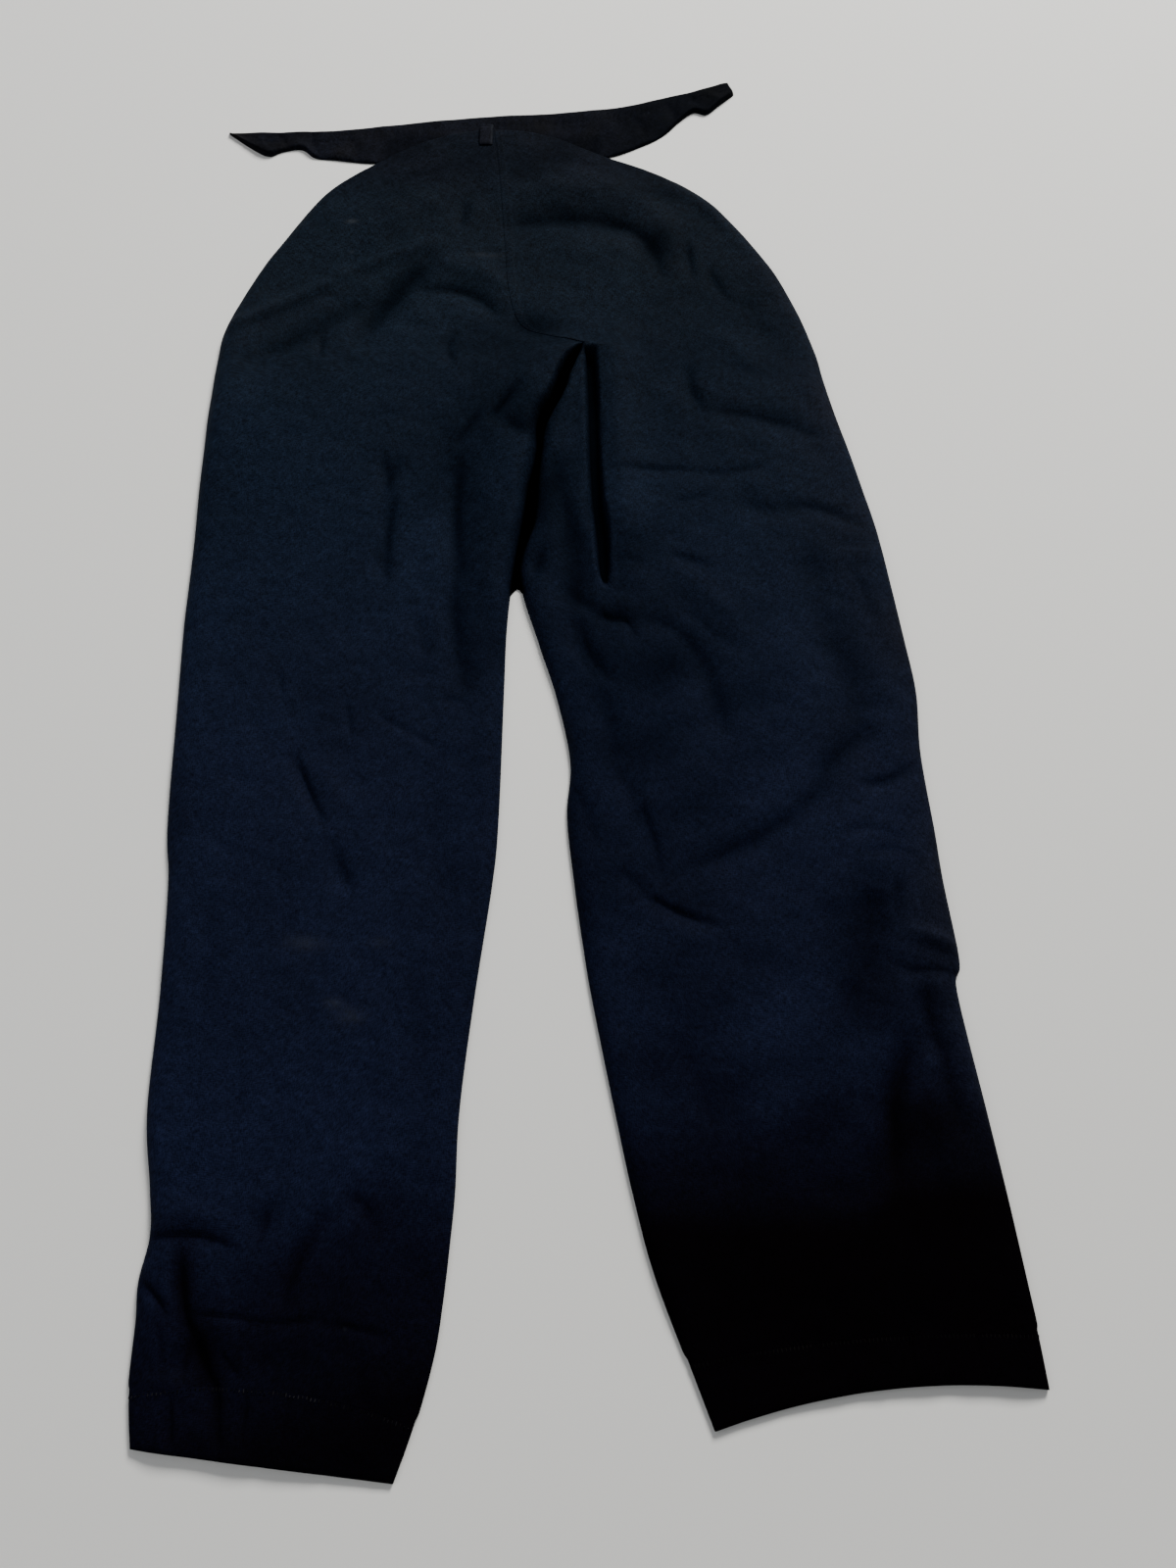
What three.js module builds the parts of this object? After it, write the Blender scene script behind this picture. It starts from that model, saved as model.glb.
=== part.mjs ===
// A pair of long plain-woven trousers lying flat on their back, front side up.
// Millimetres. X runs across, Y from the hems (-) to the waist (+), Z up from the surface.
// "Left" and "right" are the sides seen from above with the waist at the far end.
import * as THREE from 'three';

// Cloth
const frontWall = 1.3;
const backWall = 1.4;
const stripWall = 2.2;
const hemWall = 1.8;
const labelWall = 1.0;
const seamGap = 0.3;

// How the front rounds over at its side seam
const rollReach = 14;
const edgeColumns = [0, 2, 6, rollReach];
// Columns beside the pinched fold: shares of the way up to it, then steps past it
const wedgeShares = [0, 0.08, 0.25, 0.5, 0.75, 0.92, 1];
const browSteps = [4, 9, 18];
const middleColumns = 6;
const backColumns = 6;
const stripColumnCount = 3;
const labelColumns = 2;

// Between these heights up the rise the front climbs from the back onto the waist strip
const climb = { fromY: 400, toY: 438 };

// A fold fades towards its ends: the share left at its tip, and how much of it the fade spares
const foldTip = 0.15;
const foldFadeInset = 0.04;

// Moves every drawn point so that the whole lies centred on the origin
const centreShift = { x: 0.5, y: -1 };

// Centre front seam, from the waist edge down to the crotch
const seamColumns = ['x', 'y'];
const centreSeam = table(seamColumns, [
  [-63, 479],
  [-59, 445],
  [-55, 404],
  [-51, 353],
  [-47, 309],
  [-38, 278],
  [-18, 265],
  [12.5, 255],
]);
const crotchRow = centreSeam.length - 1;
// How far the left panel's crotch corner is held back from the right one
const crotchEase = { x: 0.35, y: 0 };

// One row for each cross section of a leg, waist first, hem edge last.
// outer and inner are the ends of the section, bow lifts its middle towards the waist,
// outerLift and innerLift say how high the cloth stands near each end, and slot is the
// distance from the inner end to the pinched fold. Rows down to the crotch end on the seam.
const riseColumns = ['outerX', 'outerY', 'bow', 'outerLift', 'innerLift', 'slot'];
const legColumns = ['outerX', 'outerY', 'innerX', 'innerY', 'bow', 'outerLift', 'innerLift', 'slot'];
const leftRise = table(riseColumns, [
  [-160.5, 443.5, 10, 1, 2, 40],
  [-200, 410, 8, 4, 3, 40],
  [-232, 358, 4, 7, 4, 40],
  [-257, 306, 1, 8, 5, 40],
  [-270, 271, 0, 8, 6, 40],
  [-272.5, 247, 0, 8, 7, 40],
  [-273.5, 233, 0, 8, 9, 40],
  [-274, 219, 0, 8, 10, 40],
]);
const leftLeg = table(legColumns, [
  [-275, 192, -2, 241, 0, 8, 12, 40],
  [-275, 166, -19, 197, 0, 7, 14, 40],
  [-275, 127, -28, 146, 0, 7, 14, 40],
  [-274, 85, -34, 101, 0, 7, 12, 40],
  [-274, 44, -40, 54, 0, 7, 9, 40],
  [-274, 9, -43.5, 12, 0, 6, 7, 40],
  [-272, -50, -44.5, -40, 0, 6, 6, 40],
  [-269, -138, -46, -133, 0, 6, 6, 40],
  [-264, -178, -49, -178, 0, 6, 6, 40],
  [-261, -250, -59, -257, 0, 6, 6, 40],
  [-260.5, -326, -66, -326, 0, 6, 6, 40],
  [-253.5, -372, -67, -375, 0, 6, 6, 40],
  [-250, -400, -69, -405, 0, 7, 5, 40],
  [-254, -427, -72, -439, 0, 7, 5, 40],
  [-253, -449, -76, -468, 0, 6, 4, 40],
  [-253, -488, -85.5, -505, 11, 3, 3, 40],
  [-249, -517, -96, -535, 0, 3, 3, 40],
]);
const rightRise = table(riseColumns, [
  [29, 448.5, 9, 1, 2, 30],
  [70, 432, 6, 4, 3, 30],
  [117, 399, 3, 7, 4, 30],
  [159, 340, 1, 8, 5, 30],
  [180, 294, 0, 8, 6, 30],
  [193, 252, 0, 8, 7, 28],
  [197.5, 229, 0, 8, 9, 20],
  [201.5, 210, 0, 8, 10, 12],
]);
const rightLeg = table(legColumns, [
  [207, 186, 8, 235, 0, 8, 8, 13],
  [213.5, 161, -8, 193, 0, 8, 8, 30],
  [220.5, 131, -19, 142, 0, 8, 8, 42],
  [229, 93, -24, 101, 0, 8, 8, 50],
  [235, 54, -32, 52, 0, 8, 8, 61],
  [242, 3, -18, 0, 0, 8, 7, 60],
  [247, -39, -5, -42, 0, 8, 6, 60],
  [246, -85, 5, -91, 0, 8, 6, 60],
  [250.5, -141, 3, -131, 0, 7, 6, 60],
  [253, -178, 8, -178, 0, 7, 6, 60],
  [258.5, -231, 14, -221, 0, 8, 6, 60],
  [255, -251, 20, -257, 0, 8, 6, 60],
  [266, -326, 35, -331, 0, 7, 6, 60],
  [274, -380, 45, -377, 0, 6, 6, 60],
  [280, -426, 57, -422, 2, 6, 5, 60],
  [284, -456, 76, -472, 6, 3, 3, 60],
  [287, -486, 90, -508, 11, 3, 3, 60],
]);
// Steps between one row and the next
const frontSteps = [3, 4, 4, 3, 2, 1, 2, 2, 3, 3, 3, 3, 3, 4, 5, 3, 5, 5, 3, 2, 2, 2, 3];
const backSteps = [1, 2, 2, 1, 1, 1, 1, 1, 1, 1, 1, 1, 1, 2, 2, 1, 2, 2, 1, 1, 1, 1, 1];
const hemSteps = [2];

// The back waist strip: its upper and lower edge, from the left free end to the right one
const stripColumns = ['topX', 'topY', 'lowX', 'lowY'];
const stripRows = table(stripColumns, [
  [-288, 480, -286, 478],
  [-272, 480.5, -271, 466],
  [-258, 481, -258, 457],
  [-250, 481, -250, 455],
  [-242, 481, -241, 459.5],
  [-226, 482, -225, 462],
  [-212, 482, -213, 453],
  [-196, 483, -195, 450.5],
  [-163, 487, -163, 447],
  [-110, 494, -108, 448.7],
  [-60, 499, -58, 450.2],
  [-12, 502, -12, 451.7],
  [44, 509, 31, 453],
  [72, 516.5, 62, 466],
  [89, 522, 80, 477.5],
  [104, 526, 94, 493],
  [116, 530, 106, 503],
  [124, 533, 117, 501],
  [131, 536, 128, 511],
  [136, 537, 141, 523],
]);
// Its lower edge under the front is straight, and meets the centre back seam at seamX
const strip = { leftX: -163, leftY: 447, rightX: 31, rightY: 453, seamX: -59.5 };

// Blank tab at the top of the centre seam
const label = { x: -69.5, width: 11, topY: 487, foldY: 483.5, edgeY: 480.5, lowY: 462 };

// Folds of the front. bend moves the middle to the left of the way from start to end,
// width is the half width, and a positive height is a ridge, a negative one a trough.
const foldColumns = ['startX', 'startY', 'endX', 'endY', 'bend', 'width', 'height'];
const folds = table(foldColumns, [
  // Right hip
  [-48, 387, 74, 333, 31, 14, -5],
  [-42, 408, 88, 352, 31, 15, 4],
  [101, 359, 102, 321, 0, 8, -4],
  [116, 331, 128, 301, 0, 8, -4],
  // Left hip
  [-265, 273, -106, 359, 6, 14, 5],
  [-267, 237, -178, 295, 2, 12, -4],
  [-161, 271, -57, 296, 38, 10, -5],
  [-170, 287, -48, 318, 40, 12, 4],
  [-158, 366, -110, 408, 3, 12, 3],
  [-44, 289, -12, 271, -3, 8, -4],
  // Left thigh
  [-41, 224, -62, 190, 0, 8, -5],
  [-69, 190, -91, 132, 5, 9, -5],
  [-79, 145, -58, -56, -7, 9, -6],
  [-132, 173, -128, 61, 0, 8, -3],
  // Left knee and shin
  [-182, -95, -162, -138, 2, 7, -3],
  [-149, -150, -144, -182, 0, 7, -3],
  // Above the left hem
  [-246, -400, -204, -405, 4, 8, -4],
  [-228, -413, -199, -512, 7, 9, -6],
  [-208, -410, -180, -508, 7, 10, 5],
  [-148, -392, -169, -435, -4, 10, -4],
  [-129, -373, -113, -396, 0, 9, -2],
  // Pinched fold beside the crotch, with the raised cloth on its right
  [19, 256, 30, 46, -1, 5, -18],
  [36, 262, 46, 52, -1, 14, 7],
  // Right thigh
  [99, 232, 193, 177, -14, 10, -5],
  [37, 148, 150, 150, 2, 7, -2],
  [120, 116, 216, 100, 6, 10, -4],
  [26, 38, 122, -12, 2, 10, -5],
  [-4, 100, 33, -30, -2, 8, -5],
  // Right knee
  [95, -5, 119, -73, 3, 9, -4],
  [26, -48, 69, -167, 4, 8, -4],
  [41, -171, 108, -206, -4, 8, -4],
  [180, 78, 214, -14, -4, 11, -4],
  [214, -10, 85, -163, 35, 12, -6],
  [235, -99, 205, -105, 0, 8, -3],
  // Right calf
  [196, -176, 225, -266, 6, 11, -5],
  [220, -231, 258, -237, 2, 7, -5],
  [230, -217, 260, -223, 0, 8, 4],
  [242, -248, 256, -341, -4, 8, -5],
  [221, -303, 210, -369, 3, 9, -4],
  [76, -286, 92, -319, 0, 10, -2],
]);

// Colours of the cloth
const navy = 0x10161f;
const casing = 0x15131b;
const tabGrey = 0x3a3d40;

function table(columns, rows) {
  return rows.map((row) => Object.fromEntries(columns.map((name, i) => [name, row[i]])));
}

function clamp01(value) {
  return Math.min(1, Math.max(0, value));
}

function smoothstep(low, high, value) {
  const t = clamp01((value - low) / (high - low));
  return t * t * (3 - 2 * t);
}

// Height that all folds together add at one place
function foldHeight(x, y) {
  let sum = 0;
  for (const fold of folds) {
    const dx = fold.endX - fold.startX;
    const dy = fold.endY - fold.startY;
    const length = Math.hypot(dx, dy);
    const along = ((x - fold.startX) * dx + (y - fold.startY) * dy) / (length * length);
    const t = clamp01(along);
    const beyond = (along - t) * length;
    const side = ((y - fold.startY) * dx - (x - fold.startX) * dy) / length;
    const off = Math.hypot(side - fold.bend * 4 * t * (1 - t), beyond) / fold.width;
    const fade = foldFadeInset + (1 - 2 * foldFadeInset) * t;
    const taper = foldTip + (1 - foldTip) * Math.sqrt(Math.sin(Math.PI * fade));
    sum += fold.height * taper * Math.exp(-off * off);
  }
  return sum;
}

// Value between the rows b and c of a list, smooth through a, b, c and d
function spline(a, b, c, d, t) {
  const curve = 2 * a - 5 * b + 4 * c - d;
  const twist = 3 * b - 3 * c + d - a;
  return b + 0.5 * t * (c - a + t * (curve + t * twist));
}

// Rows first to last with steps of them between each pair. A corner row ends the smooth stretch.
function refine(rows, first, last, steps, corner) {
  const names = Object.keys(rows[0]);
  const out = [];
  for (let i = first; i < last; i += 1) {
    const lowest = i < corner ? 0 : corner;
    const highest = i < corner ? corner : rows.length - 1;
    const near = [i - 1, i, i + 1, i + 2].map((k) => rows[Math.min(highest, Math.max(lowest, k))]);
    const count = steps[i - first];
    for (let k = 0; k < count; k += 1) {
      const t = k / count;
      const row = names.map((name) => [name, spline(...near.map((r) => r[name]), t)]);
      out.push(Object.fromEntries(row));
    }
  }
  out.push(rows[last]);
  return out;
}

// All rows of one side. The rise rows end beside the seam, half a seam gap to their own side.
function sideRows(rise, leg, side) {
  const upper = rise.map((row, i) => {
    const before = centreSeam[Math.max(0, i - 1)];
    const after = centreSeam[Math.min(crotchRow, i + 1)];
    const length = Math.hypot(after.x - before.x, after.y - before.y);
    const across = { x: (before.y - after.y) / length, y: (after.x - before.x) / length };
    const ease = i === crotchRow && side < 0 ? crotchEase : { x: 0, y: 0 };
    const innerX = centreSeam[i].x + across.x * side * seamGap / 2 - ease.x;
    const innerY = centreSeam[i].y + across.y * side * seamGap / 2 - ease.y;
    return { ...row, innerX, innerY, innerRoll: 0 };
  });
  const lower = leg.map((row) => ({ ...row, innerRoll: 1 }));
  return [...upper, ...lower];
}
const leftRows = sideRows(leftRise, leftLeg, -1);
const rightRows = sideRows(rightRise, rightLeg, 1);
const hemRow = leftRows.length - 2;
const lastRow = leftRows.length - 1;

// Distances of the columns from the inner end of a section that is width long
function frontColumns(slot, width) {
  const wedge = wedgeShares.map((share) => share * slot);
  const brow = browSteps.map((step) => slot + step);
  const start = Math.max(...brow);
  const end = width - rollReach;
  const middle = plainColumns(1, middleColumns).slice(1, -1).map((t) => start + (end - start) * t);
  const rim = [...edgeColumns].reverse().map((d) => width - d);
  return [...wedge, ...brow, ...middle, ...rim];
}

function plainColumns(width, count) {
  return Array.from({ length: count + 1 }, (_, k) => width * k / count);
}

// Point of a section at a distance from its inner end
function sectionPoint(row, distance) {
  const width = Math.hypot(row.outerX - row.innerX, row.outerY - row.innerY);
  const u = distance / width;
  return {
    x: row.innerX + (row.outerX - row.innerX) * u,
    y: row.innerY + (row.outerY - row.innerY) * u + row.bow * 4 * u * (1 - u),
    u,
    width,
  };
}

// Quarter round from 0 at an edge to 1 at rollReach from it
function edgeRound(distance) {
  const t = clamp01(distance / rollReach);
  return Math.sqrt(1 - (1 - t) * (1 - t));
}

// Underside of the front cloth: it clears the strip near the waist and the back below it
const frontSeat = backWall + seamGap;
const stripSeat = stripWall + seamGap;
function frontUnder(row, distance) {
  const { x, y, u, width } = sectionPoint(row, distance);
  const seat = frontSeat + (stripSeat - frontSeat) * smoothstep(climb.fromY, climb.toY, y);
  const lift = row.innerLift + (row.outerLift - row.innerLift) * smoothstep(0, 1, u);
  const innerEdge = 1 - clamp01(row.innerRoll) * (1 - edgeRound(distance));
  const edge = edgeRound(width - distance) * innerEdge;
  const rise = Math.max(0, lift + foldHeight(x, y));
  return new THREE.Vector3(x, y, seat + rise * edge);
}

function normalAt(grid, i, j) {
  const rowStep = grid[Math.min(grid.length - 1, i + 1)][j].clone().sub(grid[Math.max(0, i - 1)][j]);
  const row = grid[i];
  const columnStep = row[Math.min(row.length - 1, j + 1)].clone().sub(row[Math.max(0, j - 1)]);
  const normal = rowStep.cross(columnStep).normalize();
  return normal.z < 0 ? normal.negate() : normal;
}

// The same grid moved out by the wall. Seam edges go straight up, so that neighbours stay clear.
function raised(grid, wall, upright) {
  const up = new THREE.Vector3(0, 0, 1);
  return grid.map((row, i) => row.map((point, j) => {
    const normal = upright(i, j, grid.length - 1, row.length - 1) ? up : normalAt(grid, i, j);
    return point.clone().addScaledVector(normal, wall);
  }));
}

// Closed wall between two grids of the same size, the upper one facing +Z
function wallBetween(lower, upper) {
  const rows = lower.length;
  const columns = lower[0].length;
  const points = [...upper.flat(), ...lower.flat()];
  const shift = rows * columns;
  const top = (i, j) => i * columns + j;
  const bottom = (i, j) => shift + i * columns + j;
  const faces = [];
  const quad = (a, b, c, d) => faces.push(a, b, c, a, c, d);
  for (let i = 0; i < rows - 1; i += 1) {
    for (let j = 0; j < columns - 1; j += 1) {
      quad(top(i, j), top(i + 1, j), top(i + 1, j + 1), top(i, j + 1));
      quad(bottom(i, j), bottom(i, j + 1), bottom(i + 1, j + 1), bottom(i + 1, j));
    }
  }
  for (let j = 0; j < columns - 1; j += 1) {
    quad(top(0, j), top(0, j + 1), bottom(0, j + 1), bottom(0, j));
    quad(bottom(rows - 1, j), bottom(rows - 1, j + 1), top(rows - 1, j + 1), top(rows - 1, j));
  }
  for (let i = 0; i < rows - 1; i += 1) {
    quad(bottom(i, 0), bottom(i + 1, 0), top(i + 1, 0), top(i, 0));
    quad(top(i, columns - 1), top(i + 1, columns - 1), bottom(i + 1, columns - 1), bottom(i, columns - 1));
  }
  const geometry = new THREE.BufferGeometry();
  const numbers = points.flatMap((p) => [p.x + centreShift.x, p.y + centreShift.y, p.z]);
  geometry.setAttribute('position', new THREE.Float32BufferAttribute(numbers, 3));
  geometry.setIndex(faces);
  return faceOutwards(geometry);
}

// Turns every face round when the enclosed volume comes out negative
function faceOutwards(geometry) {
  const position = geometry.attributes.position;
  const index = geometry.index;
  const corner = [0, 1, 2].map(() => new THREE.Vector3());
  let volume = 0;
  for (let i = 0; i < index.count; i += 3) {
    corner.forEach((v, k) => v.fromBufferAttribute(position, index.getX(i + k)));
    volume += corner[0].dot(corner[1].clone().cross(corner[2]));
  }
  if (volume < 0) {
    for (let i = 0; i < index.count; i += 3) {
      const second = index.getX(i + 1);
      index.setX(i + 1, index.getX(i + 2));
      index.setX(i + 2, second);
    }
  }
  geometry.computeVertexNormals();
  return geometry;
}

function clothMaterial(color, roughness) {
  return new THREE.MeshStandardMaterial({ color, roughness, metalness: 0 });
}

const pants = new THREE.Group();
function addPiece(name, geometry, material) {
  const mesh = new THREE.Mesh(geometry, material);
  mesh.name = name;
  pants.add(mesh);
}

const legCloth = clothMaterial(navy, 0.85);
const casingCloth = clothMaterial(casing, 0.88);
const tabCloth = clothMaterial(tabGrey, 0.8);

// Front panels
function frontGrid(rows) {
  return refine(rows, 0, hemRow, frontSteps, crotchRow).map((row) => {
    const { width } = sectionPoint(row, 0);
    return frontColumns(row.slot, width).map((distance) => frontUnder(row, distance));
  });
}
// Beside the seam the wall goes straight up, in more columns where the sections run along it
const stepsTo = (row) => frontSteps.slice(0, row).reduce((sum, steps) => sum + steps, 0);
const slant = { first: stepsTo(crotchRow - 3), last: stepsTo(crotchRow + 1), columns: 8 };
const beside = { last: stepsTo(crotchRow + 2), columns: 2 };
function frontUpright(i, j, lastI) {
  if (i === 0 || i === lastI) return true;
  if (j <= slant.columns && i >= slant.first && i <= slant.last) return true;
  return j <= beside.columns && i <= beside.last;
}
const frontLeftUnder = frontGrid(leftRows);
const frontLeftOver = raised(frontLeftUnder, frontWall, frontUpright);
const frontRightUnder = frontGrid(rightRows);
const frontRightOver = raised(frontRightUnder, frontWall, frontUpright);
addPiece('front_left', wallBetween(frontLeftUnder, frontLeftOver), legCloth);
addPiece('front_right', wallBetween(frontRightUnder, frontRightOver), legCloth);

// Back panels lie flat. They start under the strip's hidden edge, and between the crotch and
// the point where the legs part they meet in the middle of the gap between the fronts.
const meetRows = { first: crotchRow + 1, last: crotchRow + 5 };
function hiddenEdgeY(x) {
  const { leftX, leftY, rightX, rightY } = strip;
  return leftY + (rightY - leftY) * (x - leftX) / (rightX - leftX);
}
function backRows(rows, others, side) {
  return rows.map((row, i) => {
    if (i === 0) {
      const outerY = hiddenEdgeY(row.outerX) - seamGap;
      const innerX = strip.seamX + side * seamGap / 2;
      return { ...row, outerY, innerX, innerY: hiddenEdgeY(innerX) - seamGap, bow: 0 };
    }
    if (i < meetRows.first || i > meetRows.last) return row;
    const innerX = (row.innerX + others[i].innerX) / 2 + side * seamGap / 2;
    const innerY = (row.innerY + others[i].innerY) / 2;
    return { ...row, innerX, innerY };
  });
}
function flatGrid(rows, height) {
  return rows.map((row) => {
    const { width } = sectionPoint(row, 0);
    return plainColumns(width, backColumns).map((distance) => {
      const { x, y } = sectionPoint(row, distance);
      return new THREE.Vector3(x, y, height);
    });
  });
}
function flatPanel(rows, wall) {
  return wallBetween(flatGrid(rows, 0), flatGrid(rows, wall));
}
const backLeftRows = backRows(leftRows, rightRows, -1);
const backRightRows = backRows(rightRows, leftRows, 1);
const refineBack = (rows) => refine(rows, 0, hemRow, backSteps, crotchRow);
addPiece('back_left', flatPanel(refineBack(backLeftRows), backWall), legCloth);
addPiece('back_right', flatPanel(refineBack(backRightRows), backWall), legCloth);

// Back waist strip
const stripGrid = (height) => stripRows.map((row) => plainColumns(1, stripColumnCount).map((t) => {
  const x = row.topX + (row.lowX - row.topX) * t;
  const y = row.topY + (row.lowY - row.topY) * t;
  return new THREE.Vector3(x, y, height);
}));
addPiece('waist_strip', wallBetween(stripGrid(0), stripGrid(stripWall)), casingCloth);

// Hem casings start a seam gap below the panels
function hemRows(rows) {
  const parted = rows.map((row, i) => {
    const shift = i === hemRow ? seamGap : 0;
    return { ...row, outerY: row.outerY - shift, innerY: row.innerY - shift };
  });
  return refine(parted, hemRow, lastRow, hemSteps, crotchRow);
}
const hemUpright = () => true;
for (const [side, rows] of [['left', leftRows], ['right', rightRows]]) {
  const turned = hemRows(rows);
  const under = turned.map((row) => {
    const { width } = sectionPoint(row, 0);
    return frontColumns(row.slot, width).map((distance) => frontUnder(row, distance));
  });
  addPiece('hem_front_' + side, wallBetween(under, raised(under, hemWall, hemUpright)), casingCloth);
  addPiece('hem_back_' + side, flatPanel(turned, backWall), casingCloth);
}

// Centre tab: sewn to the strip, it hangs over the front's top edge
const labelLeft = label.x - label.width / 2;
const labelRight = label.x + label.width / 2;
const underLabel = frontLeftOver.flat().filter((p) => (
  p.y > label.lowY - rollReach && p.x > labelLeft - rollReach && p.x < labelRight + rollReach
));
const labelSeat = Math.max(...underLabel.map((p) => p.z)) + seamGap;
const labelRows = table(['y', 'z'], [
  [label.topY, stripSeat],
  [label.foldY, stripSeat],
  [label.edgeY, labelSeat],
  [label.lowY, labelSeat],
]);
const labelGrid = (rise) => labelRows.map((row) => plainColumns(1, labelColumns).map((t) => (
  new THREE.Vector3(labelLeft + label.width * t, row.y + rise, row.z + rise)
)));
addPiece('centre_label', wallBetween(labelGrid(0), labelGrid(labelWall)), tabCloth);

export default pants;
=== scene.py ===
import math

import bpy
import numpy as np
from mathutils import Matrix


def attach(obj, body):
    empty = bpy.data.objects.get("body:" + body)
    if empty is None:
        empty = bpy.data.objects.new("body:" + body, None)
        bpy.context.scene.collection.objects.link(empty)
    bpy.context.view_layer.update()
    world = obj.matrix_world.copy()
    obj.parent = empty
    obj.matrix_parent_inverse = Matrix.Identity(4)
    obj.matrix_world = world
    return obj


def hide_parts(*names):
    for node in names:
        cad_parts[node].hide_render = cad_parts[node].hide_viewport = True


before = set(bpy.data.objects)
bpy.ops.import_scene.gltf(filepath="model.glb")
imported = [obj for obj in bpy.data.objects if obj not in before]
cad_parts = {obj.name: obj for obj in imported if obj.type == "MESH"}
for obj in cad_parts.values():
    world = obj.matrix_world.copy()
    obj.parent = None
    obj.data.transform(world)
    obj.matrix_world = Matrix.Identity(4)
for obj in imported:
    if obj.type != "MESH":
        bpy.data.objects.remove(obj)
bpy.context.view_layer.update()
print("frame loaded:", len(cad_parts), "nodes")

mm = 0.001  # the pattern below is drawn in millimetres, Blender works in metres
shiftX, shiftY = 0.5, -1.0  # puts the pattern's middle on the frame's origin

# Pattern of the trousers, waist first and hem edge last
centreSeam = [
    (-63, 479), (-59, 445), (-55, 404), (-51, 353), (-47, 309), (-38, 278), (-18, 265), (12.5, 255),
]
crotchRow = len(centreSeam) - 1

# outer x, outer y, bow, outer lift, inner lift, distance of the pinched fold
riseNames = ("outerX", "outerY", "bow", "outerLift", "innerLift", "slot")
leftRise = [
    (-160.5, 443.5, 10, 1, 2, 40), (-200, 410, 8, 4, 3, 40), (-232, 358, 4, 7, 4, 40),
    (-257, 306, 1, 8, 5, 40), (-270, 271, 0, 8, 6, 40), (-272.5, 247, 0, 8, 7, 40),
    (-273.5, 233, 0, 8, 9, 40), (-274, 219, 0, 8, 10, 40),
]
rightRise = [
    (29, 448.5, 9, 1, 2, 30), (70, 432, 6, 4, 3, 30), (117, 399, 3, 7, 4, 30), (159, 340, 1, 8, 5, 30),
    (180, 294, 0, 8, 6, 30), (193, 252, 0, 8, 7, 28), (197.5, 229, 0, 8, 9, 20), (201.5, 210, 0, 8, 10, 12),
]
legNames = ("outerX", "outerY", "innerX", "innerY", "bow", "outerLift", "innerLift", "slot")
leftLeg = [
    (-275, 192, -2, 241, 0, 8, 12, 40), (-275, 166, -19, 197, 0, 7, 14, 40),
    (-275, 127, -28, 146, 0, 7, 14, 40), (-274, 85, -34, 101, 0, 7, 12, 40),
    (-274, 44, -40, 54, 0, 7, 9, 40), (-274, 9, -43.5, 12, 0, 6, 7, 40),
    (-272, -50, -44.5, -40, 0, 6, 6, 40), (-269, -138, -46, -133, 0, 6, 6, 40),
    (-264, -178, -49, -178, 0, 6, 6, 40), (-261, -250, -59, -257, 0, 6, 6, 40),
    (-260.5, -326, -66, -326, 0, 6, 6, 40), (-253.5, -372, -67, -375, 0, 6, 6, 40),
    (-250, -400, -69, -405, 0, 7, 5, 40), (-254, -427, -72, -439, 0, 7, 5, 40),
    (-253, -449, -76, -468, 0, 6, 4, 40), (-253, -488, -85.5, -505, 11, 3, 3, 40),
    (-249, -517, -96, -535, 0, 3, 3, 40),
]
rightLeg = [
    (207, 186, 6, 236, 0, 8, 8, 13), (213.5, 161, -8, 193, 0, 8, 8, 30),
    (220.5, 131, -19, 142, 0, 8, 8, 42), (229, 93, -24, 101, 0, 8, 8, 50),
    (235, 54, -32, 52, 0, 8, 8, 61), (242, 3, -18, 0, 0, 8, 7, 60),
    (247, -39, -5, -42, 0, 8, 6, 60), (246, -85, 5, -91, 0, 8, 6, 60),
    (250.5, -141, 3, -131, 0, 7, 6, 60), (253, -178, 8, -178, 0, 7, 6, 60),
    (258.5, -231, 14, -221, 0, 8, 6, 60), (255, -251, 20, -257, 0, 8, 6, 60),
    (266, -326, 35, -331, 0, 7, 6, 60), (274, -380, 45, -377, 0, 6, 6, 60),
    (280, -426, 57, -422, 2, 6, 5, 60), (284, -456, 76, -472, 6, 3, 3, 60),
    (287, -486, 90, -508, 11, 3, 3, 60),
]

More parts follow.
